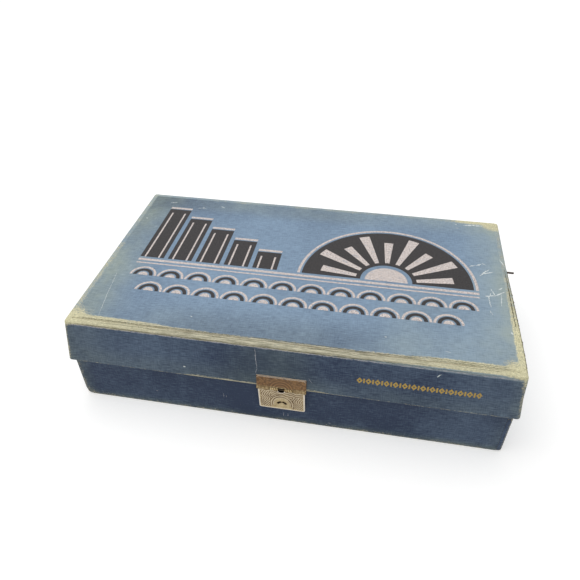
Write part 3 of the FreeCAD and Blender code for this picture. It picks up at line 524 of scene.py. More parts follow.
# The knife wandered a little along the front.
y[-3:] += np.array([[0.3], [1], [1]]) * 0.1 * np.sin(x[-3:] / 9) * np.sin(x[-3:] / 31 + 1)
lid_top_cover = lay_sheet("lid_top_cover", np.stack([x, y, height], -1), book_cloth)
at = corners_of(lid_top_cover)
x, y, _ = at.T
front, left, right, back, _ = lid_reach(at)
rubbed, bare = edge_rub(at)
mark(lid_top_cover,
     fade=(0.8 - 0.34 * ease(front, 36, 8) * ease(abs(x + 15), 105, 30)
           - 0.2 * ease(np.hypot(back, left), 80, 10) - 0.12 * ease(left, 60, 10)
           - 0.17 * ease(back, 34, 12) * ease(x, 50, 0) + 0.1 * ease(right, 70, 10)
           + uneven(at, 80, 0.04, 29)),
     soil=(0.95 * ease(left, 38, 6) + 0.55 * ease(right, 34, 8) + 0.25 * ease(front, 36, 8)
           + 0.55 * ease(back, 26, 8) + 0.25 * ease(np.hypot(x - 88, y + 46), 50, 14)
           + 0.3 * ease(np.minimum(left, right), 12, 4)),
     wear=np.maximum(0.92 * ease(front - 2.2 * ease(abs(x), 45, 100), 6.4, 4.7), rubbed),
     bare=np.maximum(bare, 0.65 * ease(front, 11, 8) * ease(abs(x), 50, 115)))
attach(lid_top_cover, "lid")
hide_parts("lid_top_cloth")

# Print on the lid: a plain geometric design in two inks, black and silver-grey, blocked onto the cloth.
# A fan of rays stands beside a flight of stepped blocks, over rows of scallops.
# The inks lie on the threads, so slubs break them up.
BLACK_LIFT, SILVER_LIFT = 0.03, 0.05


def bar(x0, x1, y0, y1):
    """An oblong of ink, set square to the lid."""
    steps = [max(2, int(abs(b - a) / 3) + 1) for a, b in ((x0, x1), (y0, y1))]
    return np.stack(np.meshgrid(np.linspace(x0, x1, steps[0]), np.linspace(y1, y0, steps[1])), -1)


def arc(x, y, inner, outer, start, end):
    """A ring or wedge of ink round a point, between two radii and two angles in degrees."""
    turns = np.radians(np.linspace(end, start, max(3, int(abs(end - start) * outer / 90) + 2)))
    reach = np.linspace(outer, inner, max(2, int((outer - inner) / 3) + 1))
    turns, reach = np.meshgrid(turns, reach)
    return np.stack([x + reach * np.cos(turns), y + reach * np.sin(turns)], -1)


def print_on(name, shapes, place, finish, body="lid"):
    """Flat shapes as a mesh on the cloth, where place turns their two measures into points in mm."""
    points, faces, spread = [], [], []
    for shape in shapes:
        start = sum(len(part) for part in points)
        flat = shape.reshape(-1, 2)
        points.append(np.stack(place(flat[:, 0], flat[:, 1]), -1))
        spread.append(np.column_stack([flat[:, 0] + PANEL_HALF, PANEL_BACK - flat[:, 1]]) * MM)
        faces.append(grid_faces(*shape.shape[:2])[2] + start)
    faces = np.concatenate(faces)
    piece = make_piece(name, np.concatenate(points), faces.tolist(), finish, np.concatenate(spread)[faces])
    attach(piece, body)


def on_top(lift):
    """Places on the top cloth, lifted off it."""
    return lambda x, y: (x, y, lid_height(x, y) + lift)


inks = []
# Blocking ink is matt and thin: the cloth's slubs, about 6 mm by 0.6 mm, and its lint show through as flecks.
for ink_name, deep, pale, flecks in (("black_blocking_ink", "030303", "363233", 0.68),
                                     ("silver_grey_blocking_ink", "8C7F7B", "ECE1DB", 0.6)):
    ink, tree = new_finish(ink_name)
    weft = add(tree, "TexCoord", out="UV")
    along_slub = add(tree, "Mapping", {"Vector": weft, "Scale": (1000 / 6, 1000 / 0.6, 1)})
    slub = add(tree, "TexNoise", {"Vector": along_slub, "Scale": 1, "Detail": 3, "Roughness": 0.6})
    lint = add(tree, "TexNoise", {"Vector": weft, "Scale": 1000 / 0.9, "Detail": 3, "Roughness": 0.7})
    grain = add(tree, "MapRange", {"Value": lint, "From Min": 0.33, "From Max": 0.6})
    tone = add(tree, "Mix", {0: grain, 6: deep, 7: pale}, **AS_COLOUR)
    fluff = add(tree, "Math", {0: slub, 1: lint}, operation="ADD")
    missed = add(tree, "MapRange", {"Value": fluff, "From Min": flecks * 2 - 0.12,
                                    "From Max": flecks * 2 + 0.1}, **SOFT_ENDS)
    add(tree, "OutputMaterial", {"Surface": add(tree, "BsdfPrincipled", {
        "Base Color": add(tree, "Mix", {0: missed, 6: tone, 7: "7089A6"}, **AS_COLOUR),
        "IOR": 1.5, "Roughness": 0.62, "Specular IOR Level": 0.4,
        "Normal": add(tree, "Bump", {"Height": slub, "Strength": 0.4, "Distance": 0.12 * MM})})})
    inks.append(ink)
black_ink, silver_ink = inks

black_shapes, silver_shapes = [], []
# The flight of blocks at the left, each with a silver cap and two silver stripes.
GROUND, BLOCKS_LEFT, BLOCK_PITCH, BLOCK_WIDTH, BLOCK_TOP, BLOCK_STEP = -6.0, -114.0, 20.0, 17.0, 57.0, 11.0
for step in range(5):
    x0, top = BLOCKS_LEFT + BLOCK_PITCH * step, BLOCK_TOP - BLOCK_STEP * step
    x1 = x0 + BLOCK_WIDTH
    black_shapes.append(bar(x0, x1, GROUND, top))
    silver_shapes += [bar(x0, x1, top + 0.8, top + 3), bar(x0 + 3, x0 + 4.2, GROUND, top - 5),
                      bar(x1 - 4.2, x1 - 3, GROUND, top - 5)]
# The fan of rays at the right, on a black half round.
FAN_X, FAN_REACH, FAN_RAYS = 56.0, 59.0, 9
black_shapes.append(arc(FAN_X, GROUND, 17, 56, 0, 180))
silver_shapes += [arc(FAN_X, GROUND, 57.2, FAN_REACH, 0, 180), arc(FAN_X, GROUND, 0.5, 14, 0, 180)]
for ray in range(FAN_RAYS):
    middle = 180 / FAN_RAYS * (ray + 0.5)
    silver_shapes.append(arc(FAN_X, GROUND, 20, 52 if ray % 2 else 44, middle - 4.2, middle + 4.2))
# Long stripes under both, and two rows of scallops below them.
for low, high in ((-10.2, -8), (-13.4, -12.2)):
    silver_shapes.append(bar(BLOCKS_LEFT, FAN_X + FAN_REACH, low, high))
SCALLOPS, SCALLOP_PITCH, SCALLOP_Y, ROW_PITCH = 12, 19.0, -26.0, 15.0
for row in range(2):
    for place in range(SCALLOPS - row):
        x, y = BLOCKS_LEFT + SCALLOP_PITCH * (place + 0.5 * (row + 1)), SCALLOP_Y - ROW_PITCH * row
        silver_shapes += [arc(x, y, 7.6, 9.2, 0, 180), arc(x, y, 0.4, 3.4, 0, 180)]
        black_shapes.append(arc(x, y, 4.4, 6.8, 0, 180))
print_on("black_print", black_shapes, on_top(BLACK_LIFT), black_ink)
print_on("silver_print", silver_shapes, on_top(SILVER_LIFT), silver_ink)

# Gold stamping on the lid's front: a plain border of lozenges and bars in imitation gold leaf.
# It is pressed into the cloth with a hot brass die; the foil is thin, warm and a little rubbed.
GOLD_START, GOLD_END, GOLD_GAPS, GOLD_LEVEL = 46.0, 113.0, 13, 49.2
LOZENGE_HALF, LOZENGE_RISE, LOZENGE_HOLE = 1.8, 2.3, 0.3
GOLD_BAR_HALF, GOLD_BAR_RISE = 0.5, 1.7


def on_front(lift):
    """Places on the lid's leaning front, given across and by height, lifted off the cloth."""
    slope = math.atan(SKIRT_FLARE / SKIRT_DEPTH)
    return lambda x, level: (
        x, LID_FRONT - SKIRT_FLARE * (LID_TOP - level) / SKIRT_DEPTH - lift * math.cos(slope),
        level + lift * math.sin(slope))


# Leaf is a thin metal skin, broken by specks about 0.8 mm across where it has rubbed off the cloth.
gold_leaf, tree = new_finish("imitation_gold_leaf")
spot = add(tree, "TexCoord", out="Object")
rub = add(tree, "TexNoise", {"Vector": spot, "Scale": 1000 / 0.8, "Detail": 3})
rubbed_off = add(tree, "MapRange", {"Value": rub, "From Min": 0.6, "From Max": 0.7}, **SOFT_ENDS)
leaf_tone = add(tree, "Mix", {0: rub, 6: "7E6630", 7: "C4A557"}, **AS_COLOUR)
add(tree, "OutputMaterial", {"Surface": add(tree, "BsdfPrincipled", {
    "Base Color": add(tree, "Mix", {0: rubbed_off, 6: leaf_tone, 7: "5A5E66"}, **AS_COLOUR),
    "Metallic": 0.6, "Roughness": 0.42})})
lozenge = np.array([(-LOZENGE_HALF, 0), (0, LOZENGE_RISE), (LOZENGE_HALF, 0), (0, -LOZENGE_RISE)])
pitch = (GOLD_END - GOLD_START) / GOLD_GAPS
gold_shapes = []
for place in range(GOLD_GAPS + 1):
    x = GOLD_START + pitch * place
    for side in range(4):
        edge = lozenge[[side, (side + 1) % 4]]
        gold_shapes.append(np.stack([edge, LOZENGE_HOLE * edge]) + [x, GOLD_LEVEL])
    if place < GOLD_GAPS:
        x += pitch / 2
        gold_shapes.append(bar(x - GOLD_BAR_HALF, x + GOLD_BAR_HALF,
                               GOLD_LEVEL - GOLD_BAR_RISE, GOLD_LEVEL + GOLD_BAR_RISE))
print_on("gold_border", gold_shapes, on_front(0.04), gold_leaf)

# Scuffs and creases: scratches through the dye, down to pale cotton, and cracks where soil has gathered.
# They run along the lid's right side, where the edge has split, and down the front beside the clasp.


def scratch(seed, width, *path):
    """A scratch along a path of points: a jagged strip that thins out at both ends."""
    dice = np.random.default_rng(seed)
    path = np.array(path, float)
    length = np.concatenate([[0], np.cumsum(np.linalg.norm(np.diff(path, axis=0), axis=1))])
    steps = np.linspace(0, length[-1], max(4, int(length[-1] / 0.7)))
    middle = np.stack([np.interp(steps, length, path[:, axis]) for axis in (0, 1)], 1)
    middle[1:-1] += dice.normal(scale=0.12, size=(len(steps) - 2, 2))
    ahead = np.gradient(middle, axis=0)
    aside = np.stack([-ahead[:, 1], ahead[:, 0]], 1) / np.linalg.norm(ahead, axis=1)[:, None]
    thinned = np.sin(np.linspace(0.08, math.pi - 0.08, len(steps))) ** 0.6
    wide = width / 2 * thinned * dice.uniform(0.35, 1.2, len(steps))
    return np.stack([middle + aside * wide[:, None], middle - aside * wide[:, None]])


# Scratched cotton is matt and pale, with bits of dyed thread about 0.8 mm long left in it.
scratched_cotton, tree = new_finish("scratched_cotton")
weft = add(tree, "TexCoord", out="UV")
bits = add(tree, "TexNoise", {"Vector": weft, "Scale": 1000 / 0.8, "Detail": 3, "Roughness": 0.7})
left_in = add(tree, "MapRange", {"Value": bits, "From Min": 0.52, "From Max": 0.66}, **SOFT_ENDS)
add(tree, "OutputMaterial", {"Surface": add(tree, "BsdfPrincipled", {
    "Base Color": add(tree, "Mix", {0: left_in, 6: "D9E0DE", 7: "9DB0BF"}, **AS_COLOUR),
    "Roughness": 0.9, "IOR": 1.5})})
top_scratches = [scratch(*each) for each in (
    (1, 1.0, (124.3, -9.6), (128, -6.8), (131.2, -4.2)), (2, 0.8, (122.6, -2.7), (124.8, -9.5)),
    (3, 1.1, (116.5, 10.2), (120, 13.2), (125.6, 15.4)), (4, 1.3, (115.2, 21.2), (118.6, 23.2)),
    (5, 0.9, (119.0, 24.6), (121.8, 22.8)), (6, 1.6, (109.5, 70.6), (116, 71.4), (123.6, 71.6)),
    (7, 0.9, (131.2, 31), (132.6, 27), (134.2, 22.4)), (8, 0.5, (128.8, -6.5), (127.6, -19)),
    (9, 0.9, (130.6, -41.5), (131.6, -43.8)), (10, 0.3, (-122.4, -25.7), (-119, -50), (-115.7, -70)),
    (11, 1.0, (-128.4, 41.6), (-127, 41)), (12, 0.9, (-89.9, 63.2), (-88.6, 63.6)),
    (13, 0.8, (-101, 13.6), (-100, 14)), (14, 0.5, (120, -24), (121.6, -28)),
    (15, 0.6, (104, 66), (106, 66.4)), (16, 0.7, (57.4, -58), (58.8, -58.3)),
    (17, 0.6, (-60, -60), (-58.4, -60.3)), (18, 1.2, (118.5, -10.5), (124.4, -9.4)),
    (19, 0.7, (122.2, -7), (120.4, -12), (121.2, -21)), (51, 0.8, (110.5, 19.6), (114.8, 21.4)),
    (52, 0.9, (118, 12.4), (123.6, 18.2)), (53, 0.7, (127.4, -2.6), (130.2, -0.4)),
    (54, 0.8, (103.6, 70.4), (104.8, 70.8)), (55, 0.5, (-118, 66.4), (-112, 66.8)),
    (56, 0.6, (-93, 61.6), (-86.6, 62.4)), (57, 0.8, (-76, 66.8), (-72.6, 65.2)),
    (58, 0.45, (92, -63.8), (95.4, -64.4)))]
print_on("top_scratches", top_scratches, on_top(0.06), scratched_cotton)
front_scratches = [scratch(21, 0.7, (88.2, 58.8), (90.4, 61.1)), scratch(22, 0.9, (-61, 42.3), (-59.6, 41.9))]
print_on("front_scratches", front_scratches, on_front(0.05), scratched_cotton)

# Half-rubbed thread has lost its dye but not its filler: matt lavender-grey, in flecks about 3 mm by 0.6 mm.
rubbed_thread, tree = new_finish("half_rubbed_thread")
weft = add(tree, "TexCoord", out="UV")
along_fleck = add(tree, "Mapping", {"Vector": weft, "Scale": (1000 / 3, 1000 / 0.6, 1)})
bits = add(tree, "TexNoise", {"Vector": along_fleck, "Scale": 1, "Detail": 3, "Roughness": 0.7})
left_in = add(tree, "MapRange", {"Value": bits, "From Min": 0.45, "From Max": 0.62}, **SOFT_ENDS)
add(tree, "OutputMaterial", {"Surface": add(tree, "BsdfPrincipled", {
    "Base Color": add(tree, "Mix", {0: left_in, 6: "B4B4B8", 7: "5D6A80"}, **AS_COLOUR),
    "Roughness": 0.9, "IOR": 1.5})})
# The ridge below the worn band, a broken grey line along the front, is half rubbed, and so are creases by
# the clasp.
ridge = [scratch(41 + part, 0.85, (start, 63.98), (start + 14, 64.05), (start + 30, 63.95))
         for part, start in enumerate((-133, -104, -78, -49, -22, 6, 34, 60, 84, 103))]
creases = [scratch(23, 0.5, (-15.8, 63.6), (-15.3, 54.4), (-14.8, 48.2)),
           scratch(24, 0.4, (-14.8, 48.4), (-15.6, 44.4)), scratch(25, 0.3, (16.4, 45.5), (18.6, 41.8))]
print_on("rubbed_ridge", ridge + creases, on_front(0.06), rubbed_thread)
# A few short scuffs on the front of the base.
base_scuffs = [scratch(*each) for each in (
    (26, 0.45, (-38, 19.5), (-38.3, 15.5)), (27, 0.4, (0.6, 9), (0.3, 5)),
    (28, 0.35, (3.6, 8.6), (3.3, 5.4)), (29, 0.35, (-36.2, 18), (-36.5, 16)),
    (30, 0.4, (29, 4.4), (31.5, 3.9)), (40, 0.35, (-84, 13), (-82.6, 12.4)))]
print_on("base_scuffs", base_scuffs, lambda x, level: (x, np.full_like(x, -BASE_BACK - 0.04), level),
         rubbed_thread, "base")

# Cracked cloth holds brown soil: matt and dark, in crumbs about 1.4 mm across.
crack_soil, tree = new_finish("soil_in_cracked_cloth")
spot = add(tree, "TexCoord", out="Object")
crumbs = add(tree, "TexNoise", {"Vector": spot, "Scale": 1000 / 1.4, "Detail": 4, "Roughness": 0.7})
add(tree, "OutputMaterial", {"Surface": add(tree, "BsdfPrincipled", {
    "Base Color": add(tree, "Mix", {0: crumbs, 6: "332E20", 7: "746D4E"}, **AS_COLOUR),
    "Roughness": 0.95, "IOR": 1.5})})
edge_cracks = [scratch(*each) for each in (
    (31, 0.6, (133.3, 20.5), (133.7, 4), (133.6, -18), (133.8, -44)),
    (32, 0.5, (133.8, -42), (133.5, -60), (133.2, -70)),
    (33, 0.55, (-127, -72.2), (-80, -72.4)), (34, 0.5, (-84, -72), (-20, -72.3)),
    (35, 0.4, (-24, -71.4), (40, -71.8)), (36, 0.4, (30, -72.4), (80, -71.9)),
    (37, 0.35, (70, -70.6), (126, -70.9)), (38, 0.4, (84, -71.9), (129, -72.3)),
    (39, 0.3, (96, -74.4), (130, -74.6)), (61, 0.3, (-112, -74.6), (-62, -74.9)),
    (62, 0.28, (-70, -74.2), (-8, -74.5)), (63, 0.3, (0, -74.7), (58, -74.3)))]
print_on("edge_cracks", edge_cracks, on_top(0.07), crack_soil)
# Along the split the dark strip is soil in the frayed edge and also painted shade in the split's gap.
split_edge = [scratch(71 + part, 0.75, (134.35, 18 - 9 * part), (134.4, 8 - 9 * part)) for part in range(10)]
print_on("split_edge", split_edge,
         lambda x, y: (x + split_stand(y), y, np.full_like(x, LID_TOP - 0.16)), crack_soil)
front_cracks = [scratch(*each) for each in (
    (64, 0.32, (-128, 64.95), (-70, 65.0)), (65, 0.3, (-82, 64.85), (-30, 64.95)),
    (66, 0.3, (-36, 65.0), (22, 64.9)), (67, 0.35, (12, 64.95), (74, 65.0)),
    (68, 0.2, (66, 65.0), (131, 64.95)))]
print_on("front_cracks", front_cracks, on_front(0.03), crack_soil)

# Brads: wire nails through the skirt's ends into the lid's top board; one at the right has worked loose.
# Plain drawn steel wire, rusted dark brown and rough, in grains about 0.6 mm across.
rusty_steel, tree = new_finish("rusted_steel_wire")
spot = add(tree, "TexCoord", out="Object")
rust = add(tree, "TexNoise", {"Vector": spot, "Scale": 1000 / 0.6, "Detail": 4, "Roughness": 0.7})
add(tree, "OutputMaterial", {"Surface": add(tree, "BsdfPrincipled", {
    "Base Color": add(tree, "Mix", {0: rust, 6: "1E1A17", 7: "5A4636"}, **AS_COLOUR),
    "Metallic": 0.5, "Roughness": 0.7,
    "Normal": add(tree, "Bump", {"Height": rust, "Strength": 0.4, "Distance": 0.08 * MM})})})
dress(rusty_steel, "lid_brads")

# Cloth hinge: a strip of the book cloth down the back, pasted half on the lid and half on the base.
# The real strip folds at the joint between them; here it is laid in the closed pose, where it stands out a
# little in a soft roll.
HINGE_HALF, HINGE_LEAF, FOLD_LEVEL = 125.0, 15.0, 35.0
CLOTH_FACE, ROLL_RISE, ROLL_WIDTH = LID_BACK + 0.38, 0.4, 0.55
leaf_rises = np.linspace(HINGE_LEAF - 0.2, 1.6, 10)
rises = np.concatenate([[HINGE_LEAF], leaf_rises, np.linspace(1.3, -1.3, 14),
                        -leaf_rises[::-1], [-HINGE_LEAF]])
x, rise = np.meshgrid(np.linspace(HINGE_HALF, -HINGE_HALF, 170), rises)
y = CLOTH_FACE + ROLL_RISE * np.exp(-(rise / ROLL_WIDTH) ** 2)
y[[0, -1]] = LID_BACK + 0.02
y[:, [0, -1]] = LID_BACK + 0.05
hinge_strip = lay_sheet("hinge_strip", np.stack([x, y, FOLD_LEVEL + rise], -1), book_cloth)
at = corners_of(hinge_strip)
x, _, z = at.T
mark(hinge_strip,
     fade=0.18 + uneven(at, 50, 0.05, 31),
     soil=0.3 * ease(abs(x), 60, 125),
     wear=np.maximum(0.52 * ease(abs(z - FOLD_LEVEL), 1.2, 0.2),
                     0.45 * ease(abs(x), HINGE_HALF - 1, HINGE_HALF)))
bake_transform(hinge_strip)
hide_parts("hinge_cloth_lower", "hinge_cloth_upper")

# Clasp leaf: the upper half of the clasp, a plate on the skirt with two knuckles for the pin.
# It is cut and stamped from brass sheet, and its two prongs are pushed through the skirt and clinched inside.
LEAF_HALF, LEAF_TOP, EYE_LEVEL = 15.2, 43.0, 33.8
# Brass without its lacquer tarnishes red-brown; its foot is rubbed pale, and its upward faces near the top
# edge are painted bright as a painted highlight. The pebbled ground and the rings round the pin's eye are
# about 1 mm apart, and are drawn at 1.4 and 1.8 mm, since finer ones don't show here.
tarnished_brass, tree = new_finish("tarnished_brass_sheet")
spot = add(tree, "TexCoord", out="Object")
bloom = add(tree, "TexNoise", {"Vector": spot, "Scale": 1000 / 6, "Detail": 5, "Roughness": 0.65})
along_mark = add(tree, "Mapping", {"Vector": spot, "Scale": (1000 / 5, 1000 / 0.4, 1000 / 0.4)})
marks = add(tree, "TexNoise", {"Vector": along_mark, "Scale": 1, "Detail": 2})
pebble = add(tree, "TexVoronoi", {"Vector": spot, "Scale": 1000 / 1.4, "Randomness": 0.9})
seen_flat = add(tree, "Mapping", {"Vector": spot, "Scale": (1, 0, 1)})
from_eye = add(tree, "VectorMath", {0: seen_flat, 1: (0, 0, EYE_LEVEL * MM)}, out="Value",
               operation="DISTANCE")
ring_turn = add(tree, "Math", {0: from_eye, 1: 2 * math.pi * 1000 / 1.8}, operation="MULTIPLY")
ring_wave = add(tree, "Math", {0: ring_turn}, operation="SINE")
rings_here = add(tree, "MapRange", {"Value": from_eye, "From Min": 8.5 * MM, "From Max": 7.5 * MM})
pebbled = add(tree, "MapRange", {"Value": pebble, "From Min": 0.2, "From Max": 0.75})
ringed = add(tree, "MapRange", {"Value": ring_wave, "From Min": -1})
stamped = add(tree, "Mix", {0: rings_here, 2: pebbled, 3: ringed}, data_type="FLOAT")
height = add(tree, "SeparateXYZ", {"Vector": spot}, out="Z")
upward = add(tree, "SeparateXYZ", {"Vector": add(tree, "TexCoord", out="Normal")}, out="Z")
# Painted highlight: faces turned up near the top edge go pale, as light on that edge.
facing_up = add(tree, "MapRange", {"Value": upward, "From Min": 0.6, "From Max": 0.9})
highlight_near_top = add(tree, "MapRange", {"Value": height, "From Min": 41 * MM, "From Max": 42 * MM,
                                    "To Max": 0.85})
edge = add(tree, "Math", {0: facing_up, 1: highlight_near_top}, operation="MULTIPLY")
wander = add(tree, "MapRange", {"Value": bloom, "To Min": -2.2 * MM, "To Max": 2.2 * MM})
ragged = add(tree, "Math", {0: height, 1: wander}, operation="ADD")
handled = add(tree, "MapRange", {"Value": ragged, "From Min": 36.2 * MM, "From Max": 35.2 * MM}, **SOFT_ENDS)
tarnish = add(tree, "Mix", {0: bloom, 6: "6E4B2D", 7: "A57F50"}, **AS_COLOUR)
darkness = add(tree, "Math", {0: stamped, 1: 0.7}, operation="MULTIPLY")
brown = add(tree, "Mix", {0: darkness, 6: tarnish, 7: "3C2715"}, **AS_COLOUR)
marked = add(tree, "MapRange", {"Value": marks, "From Min": 0.55, "From Max": 0.75, "To Max": 0.5})
streaked = add(tree, "Mix", {0: marked, 6: brown, 7: "A58560"}, **AS_COLOUR)
pale_face = add(tree, "Mix", {0: stamped, 6: "B09A74", 7: "7A643F"}, **AS_COLOUR)
rubbed_pale = add(tree, "Mix", {0: handled, 6: streaked, 7: pale_face}, **AS_COLOUR)
add(tree, "OutputMaterial", {"Surface": add(tree, "BsdfPrincipled", {
    "Base Color": add(tree, "Mix", {0: edge, 6: rubbed_pale, 7: "E8D6C0"}, **AS_COLOUR),
    "Metallic": 0.3, "Roughness": add(tree, "MapRange", {"Value": bloom, "To Min": 0.45, "To Max": 0.65}),
    "Normal": add(tree, "Bump", {"Height": stamped, "Strength": 0.3, "Distance": 0.1 * MM}, invert=True)})})
dress(tarnished_brass, "clasp_leaf")
# The pin is brass wire, painted near black where it shows in the eye, as painted shade, in specks about 0.5
# mm across.
black_wire, tree = new_finish("brass_wire_painted_dark_as_shade")
spot = add(tree, "TexCoord", out="Object")
specks = add(tree, "TexNoise", {"Vector": spot, "Scale": 1000 / 0.5, "Detail": 3})
add(tree, "OutputMaterial", {"Surface": add(tree, "BsdfPrincipled", {
    "Base Color": add(tree, "Mix", {0: specks, 6: "18120B", 7: "46351F"}, **AS_COLOUR),
    "Metallic": 0.5, "Roughness": 0.65})})
dress(black_wire, "hasp_pin")
# The leaf's upper edge is rolled to a bead, which droops over its two corners; the bead is painted bright all
# round, a painted highlight on that edge.
BEAD_RADIUS, BEAD_STAND, BEAD_DROOP, BEAD_HIGHLIGHT = 0.19, 0.45, 1.2, 0.6
across = np.linspace(0.1 - LEAF_HALF, LEAF_HALF - 0.1, 60)
droop = BEAD_DROOP * ease(abs(across), LEAF_HALF - 1.6, LEAF_HALF - 0.1) ** 2
bead_rows = []
for turn in math.pi * np.linspace(-0.85, 0.55, 13):
    out, rise = BEAD_STAND - 0.9 * BEAD_RADIUS * math.sin(turn), BEAD_RADIUS * math.cos(turn)
    bead_rows.append(np.stack(on_front(out)(across, LEAF_TOP + rise - droop), -1))
leaf_bead = lay_sheet("leaf_bead", bead_rows, pale_brass)
mark(leaf_bead, wear=np.full(len(leaf_bead.data.vertices), BEAD_HIGHLIGHT))
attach(leaf_bead, "lid")

# Hasp: the lower half of the clasp, a plate that swings on a pin and snaps onto the catch.
# It is stamped from pale brass with a raised rim, an eye, a dimple on a smooth dome between two curved slots,
# and raised lines: rings round the dome, vees at the lower corners, flames at the sides and waves between.
CLASP_Y, CLASP_Z, HASP_TILT = -80.8345, 33.7902, math.radians(5.12)
HASP_HALF, HASP_START, HASP_LENGTH, HASP_METAL = 14.5, 1.25, 20.0, 0.6
HASP_RIM, HASP_RIM_RISE, HASP_CORNER = 1.0, 0.3, 1.6
BARREL_HALF, BARREL_RADIUS, PIN_BORE = 7.0, 0.95, 0.55
EYE_DROP, EYE_RADIUS, DIMPLE_DROP, DIMPLE_RADIUS, TAB_TOP = 0.45, 1.95, 15.4, 1.8, 0.3
ARCH_INNER, ARCH_OUTER, ARCH_START, ARCH_END = 2.3, 3.2, 10.0, 70.0
# The real lines are about 1 mm apart; finer ones don't show here, so these are 1.4 mm across and 1.9 mm down.
DOME_RADIUS, LINE_PITCH, LINE_SQUEEZE = 5.4, 1.4, 0.74
LINE_RISE, EYE_RISE, DIMPLE_DEPTH = 0.16, 0.16, 0.4
RIM_STEP, GRID_STEP, CLEAR_OF_RIM = 0.25, 0.22, 0.13


def on_hasp(x, drop, out):
    """Points of the hanging hasp: across, down from the pin and out from its middle, in mm."""
    return np.stack([x, CLASP_Y + drop * math.sin(HASP_TILT) - out * math.cos(HASP_TILT),
                     CLASP_Z - drop * math.cos(HASP_TILT) - out * math.sin(HASP_TILT)], -1)


def round_dimple(x, drop):
    """Distance from the dimple's middle, and the angle off straight up from it, in degrees."""
    return np.hypot(x, drop - DIMPLE_DROP), np.degrees(np.arctan2(abs(x), DIMPLE_DROP - drop))


def hasp_relief(x, drop):
    """How far the stamping stands out of the flat face, in mm, how soiled it is, with painted shade round its
    holes, and how bright, with a painted highlight on the ring round its eye.
    """
    side = HASP_HALF - abs(x)
    rim_reach = np.where(drop > HASP_START + 0.2, np.minimum(side, HASP_LENGTH - drop), 9)
    rounded_off = 0.8 * ease(rim_reach, 0.22, 0)
    rim = HASP_RIM_RISE * ease(rim_reach, HASP_RIM + 0.35, HASP_RIM - 0.25) * (1 - rounded_off)
    ring, up = round_dimple(x, drop)
    dome = np.hypot(x, LINE_SQUEEZE * (drop - DIMPLE_DROP))
    rings = dome - DOME_RADIUS
    vees = 0.62 * drop + abs(abs(x) - 10.6)
    flames = abs(x) + 0.8 * np.sin(0.75 * drop)
    waves = LINE_SQUEEZE * drop + 0.5 * np.cos(x)
    along = np.select([rings < 2.2, (abs(x) > 7.2) & (drop > 12.2), (abs(x) > 6.6) & (drop > 4.4 + 0.2 * x)],
                      [rings, vees, flames], waves)
    smooth = np.maximum(ease(dome, DOME_RADIUS, DOME_RADIUS - 0.5),
                        ease(up, 96, 104) * ease(abs(x), 6.6, 6.0))
    lines = (0.5 + 0.5 * np.cos(2 * math.pi * along / LINE_PITCH)) ** 0.8
    lines = lines * (1 - smooth) * ease(rim_reach, 1.2, 1.6)
    eye = np.hypot(x, drop - EYE_DROP)
    eye_rim = ease(eye, EYE_RADIUS + 0.9, EYE_RADIUS + 0.4)
    dent = DIMPLE_DEPTH * ease(ring, DIMPLE_RADIUS, 0.9)
    past_arch = np.maximum(np.maximum(ARCH_INNER - ring, ring - ARCH_OUTER), 0)
    past_ends = ring * np.radians(np.maximum(np.maximum(ARCH_START - up, up - ARCH_END), 0))
    # Painted shade: round the eye and the slots the plate is marked fully soiled, so it goes black as the
    # holes' shade.
    in_hole = np.maximum(ease(np.hypot(past_arch, past_ends), 0.55, 0.1),
                         ease(eye, EYE_RADIUS + 0.3, EYE_RADIUS + 0.1))
    groove = 0.1 + 0.66 * (1 - lines) ** 1.5 * (1 - smooth)
    grime_and_hole_shade = np.maximum(groove * ease(rim_reach, 1.0, 1.6), in_hole)
    # The rim's crest is rubbed bright; the ring round the eye is a painted highlight.
    crest = np.maximum(ease(rim_reach, HASP_RIM, HASP_RIM - 0.4) * ease(drop, 0.8, 2.5), 0.8 * eye_rim)
    crest = crest * (1 - in_hole)
    relief = rim + LINE_RISE * lines + EYE_RISE * eye_rim - dent
    return relief, grime_and_hole_shade * (1 - crest), 0.6 * crest + 0.2 * lines


def on_plate(x, drop):
    """Whether points lie on the hasp's sheet, within its outline and off its holes."""
    below = (drop > HASP_START) | ((abs(x) < BARREL_HALF) & (drop > TAB_TOP))
    past_corner = np.hypot(np.maximum(abs(x) - HASP_HALF + HASP_CORNER, 0),
                           np.maximum(drop - HASP_LENGTH + HASP_CORNER, 0))
    inside = (abs(x) < HASP_HALF) & (drop < HASP_LENGTH) & (past_corner < HASP_CORNER)
    in_eye = np.hypot(x, drop - EYE_DROP) < EYE_RADIUS
    ring, up = round_dimple(x, drop)
    in_arch = (ring > ARCH_INNER) & (ring < ARCH_OUTER) & (up > ARCH_START) & (up < ARCH_END)
    return below & inside & ~in_eye & ~in_arch


# The outline runs from the left shoulder over the tab, with its notch for the eye, and round both corners.
turn = np.radians(np.linspace(0, 90, 7))
right_corner = np.stack([HASP_HALF - HASP_CORNER + HASP_CORNER * np.cos(turn),
                         HASP_LENGTH - HASP_CORNER + HASP_CORNER * np.sin(turn)], 1)
left_corner = right_corner[::-1] * [-1, 1]
notch_start = math.asin((EYE_DROP - TAB_TOP) / EYE_RADIUS)
notch = np.linspace(math.pi + notch_start, -notch_start, 25)
outline = np.concatenate([
    [(-HASP_HALF, HASP_START), (-BARREL_HALF, HASP_START), (-BARREL_HALF, TAB_TOP)],
    np.stack([EYE_RADIUS * np.cos(notch), EYE_DROP + EYE_RADIUS * np.sin(notch)], 1),
    [(BARREL_HALF, TAB_TOP), (BARREL_HALF, HASP_START), (HASP_HALF, HASP_START)], right_corner, left_corner])
loops = [outline]
turn = np.radians(np.linspace(ARCH_START, ARCH_END, 10))
for side in (-1, 1):
    loops.append(np.concatenate([
        np.stack([side * reach * np.sin(way), DIMPLE_DROP - reach * np.cos(way)], 1)
        for reach, way in ((ARCH_OUTER, turn), (ARCH_INNER, turn[::-1]))]))
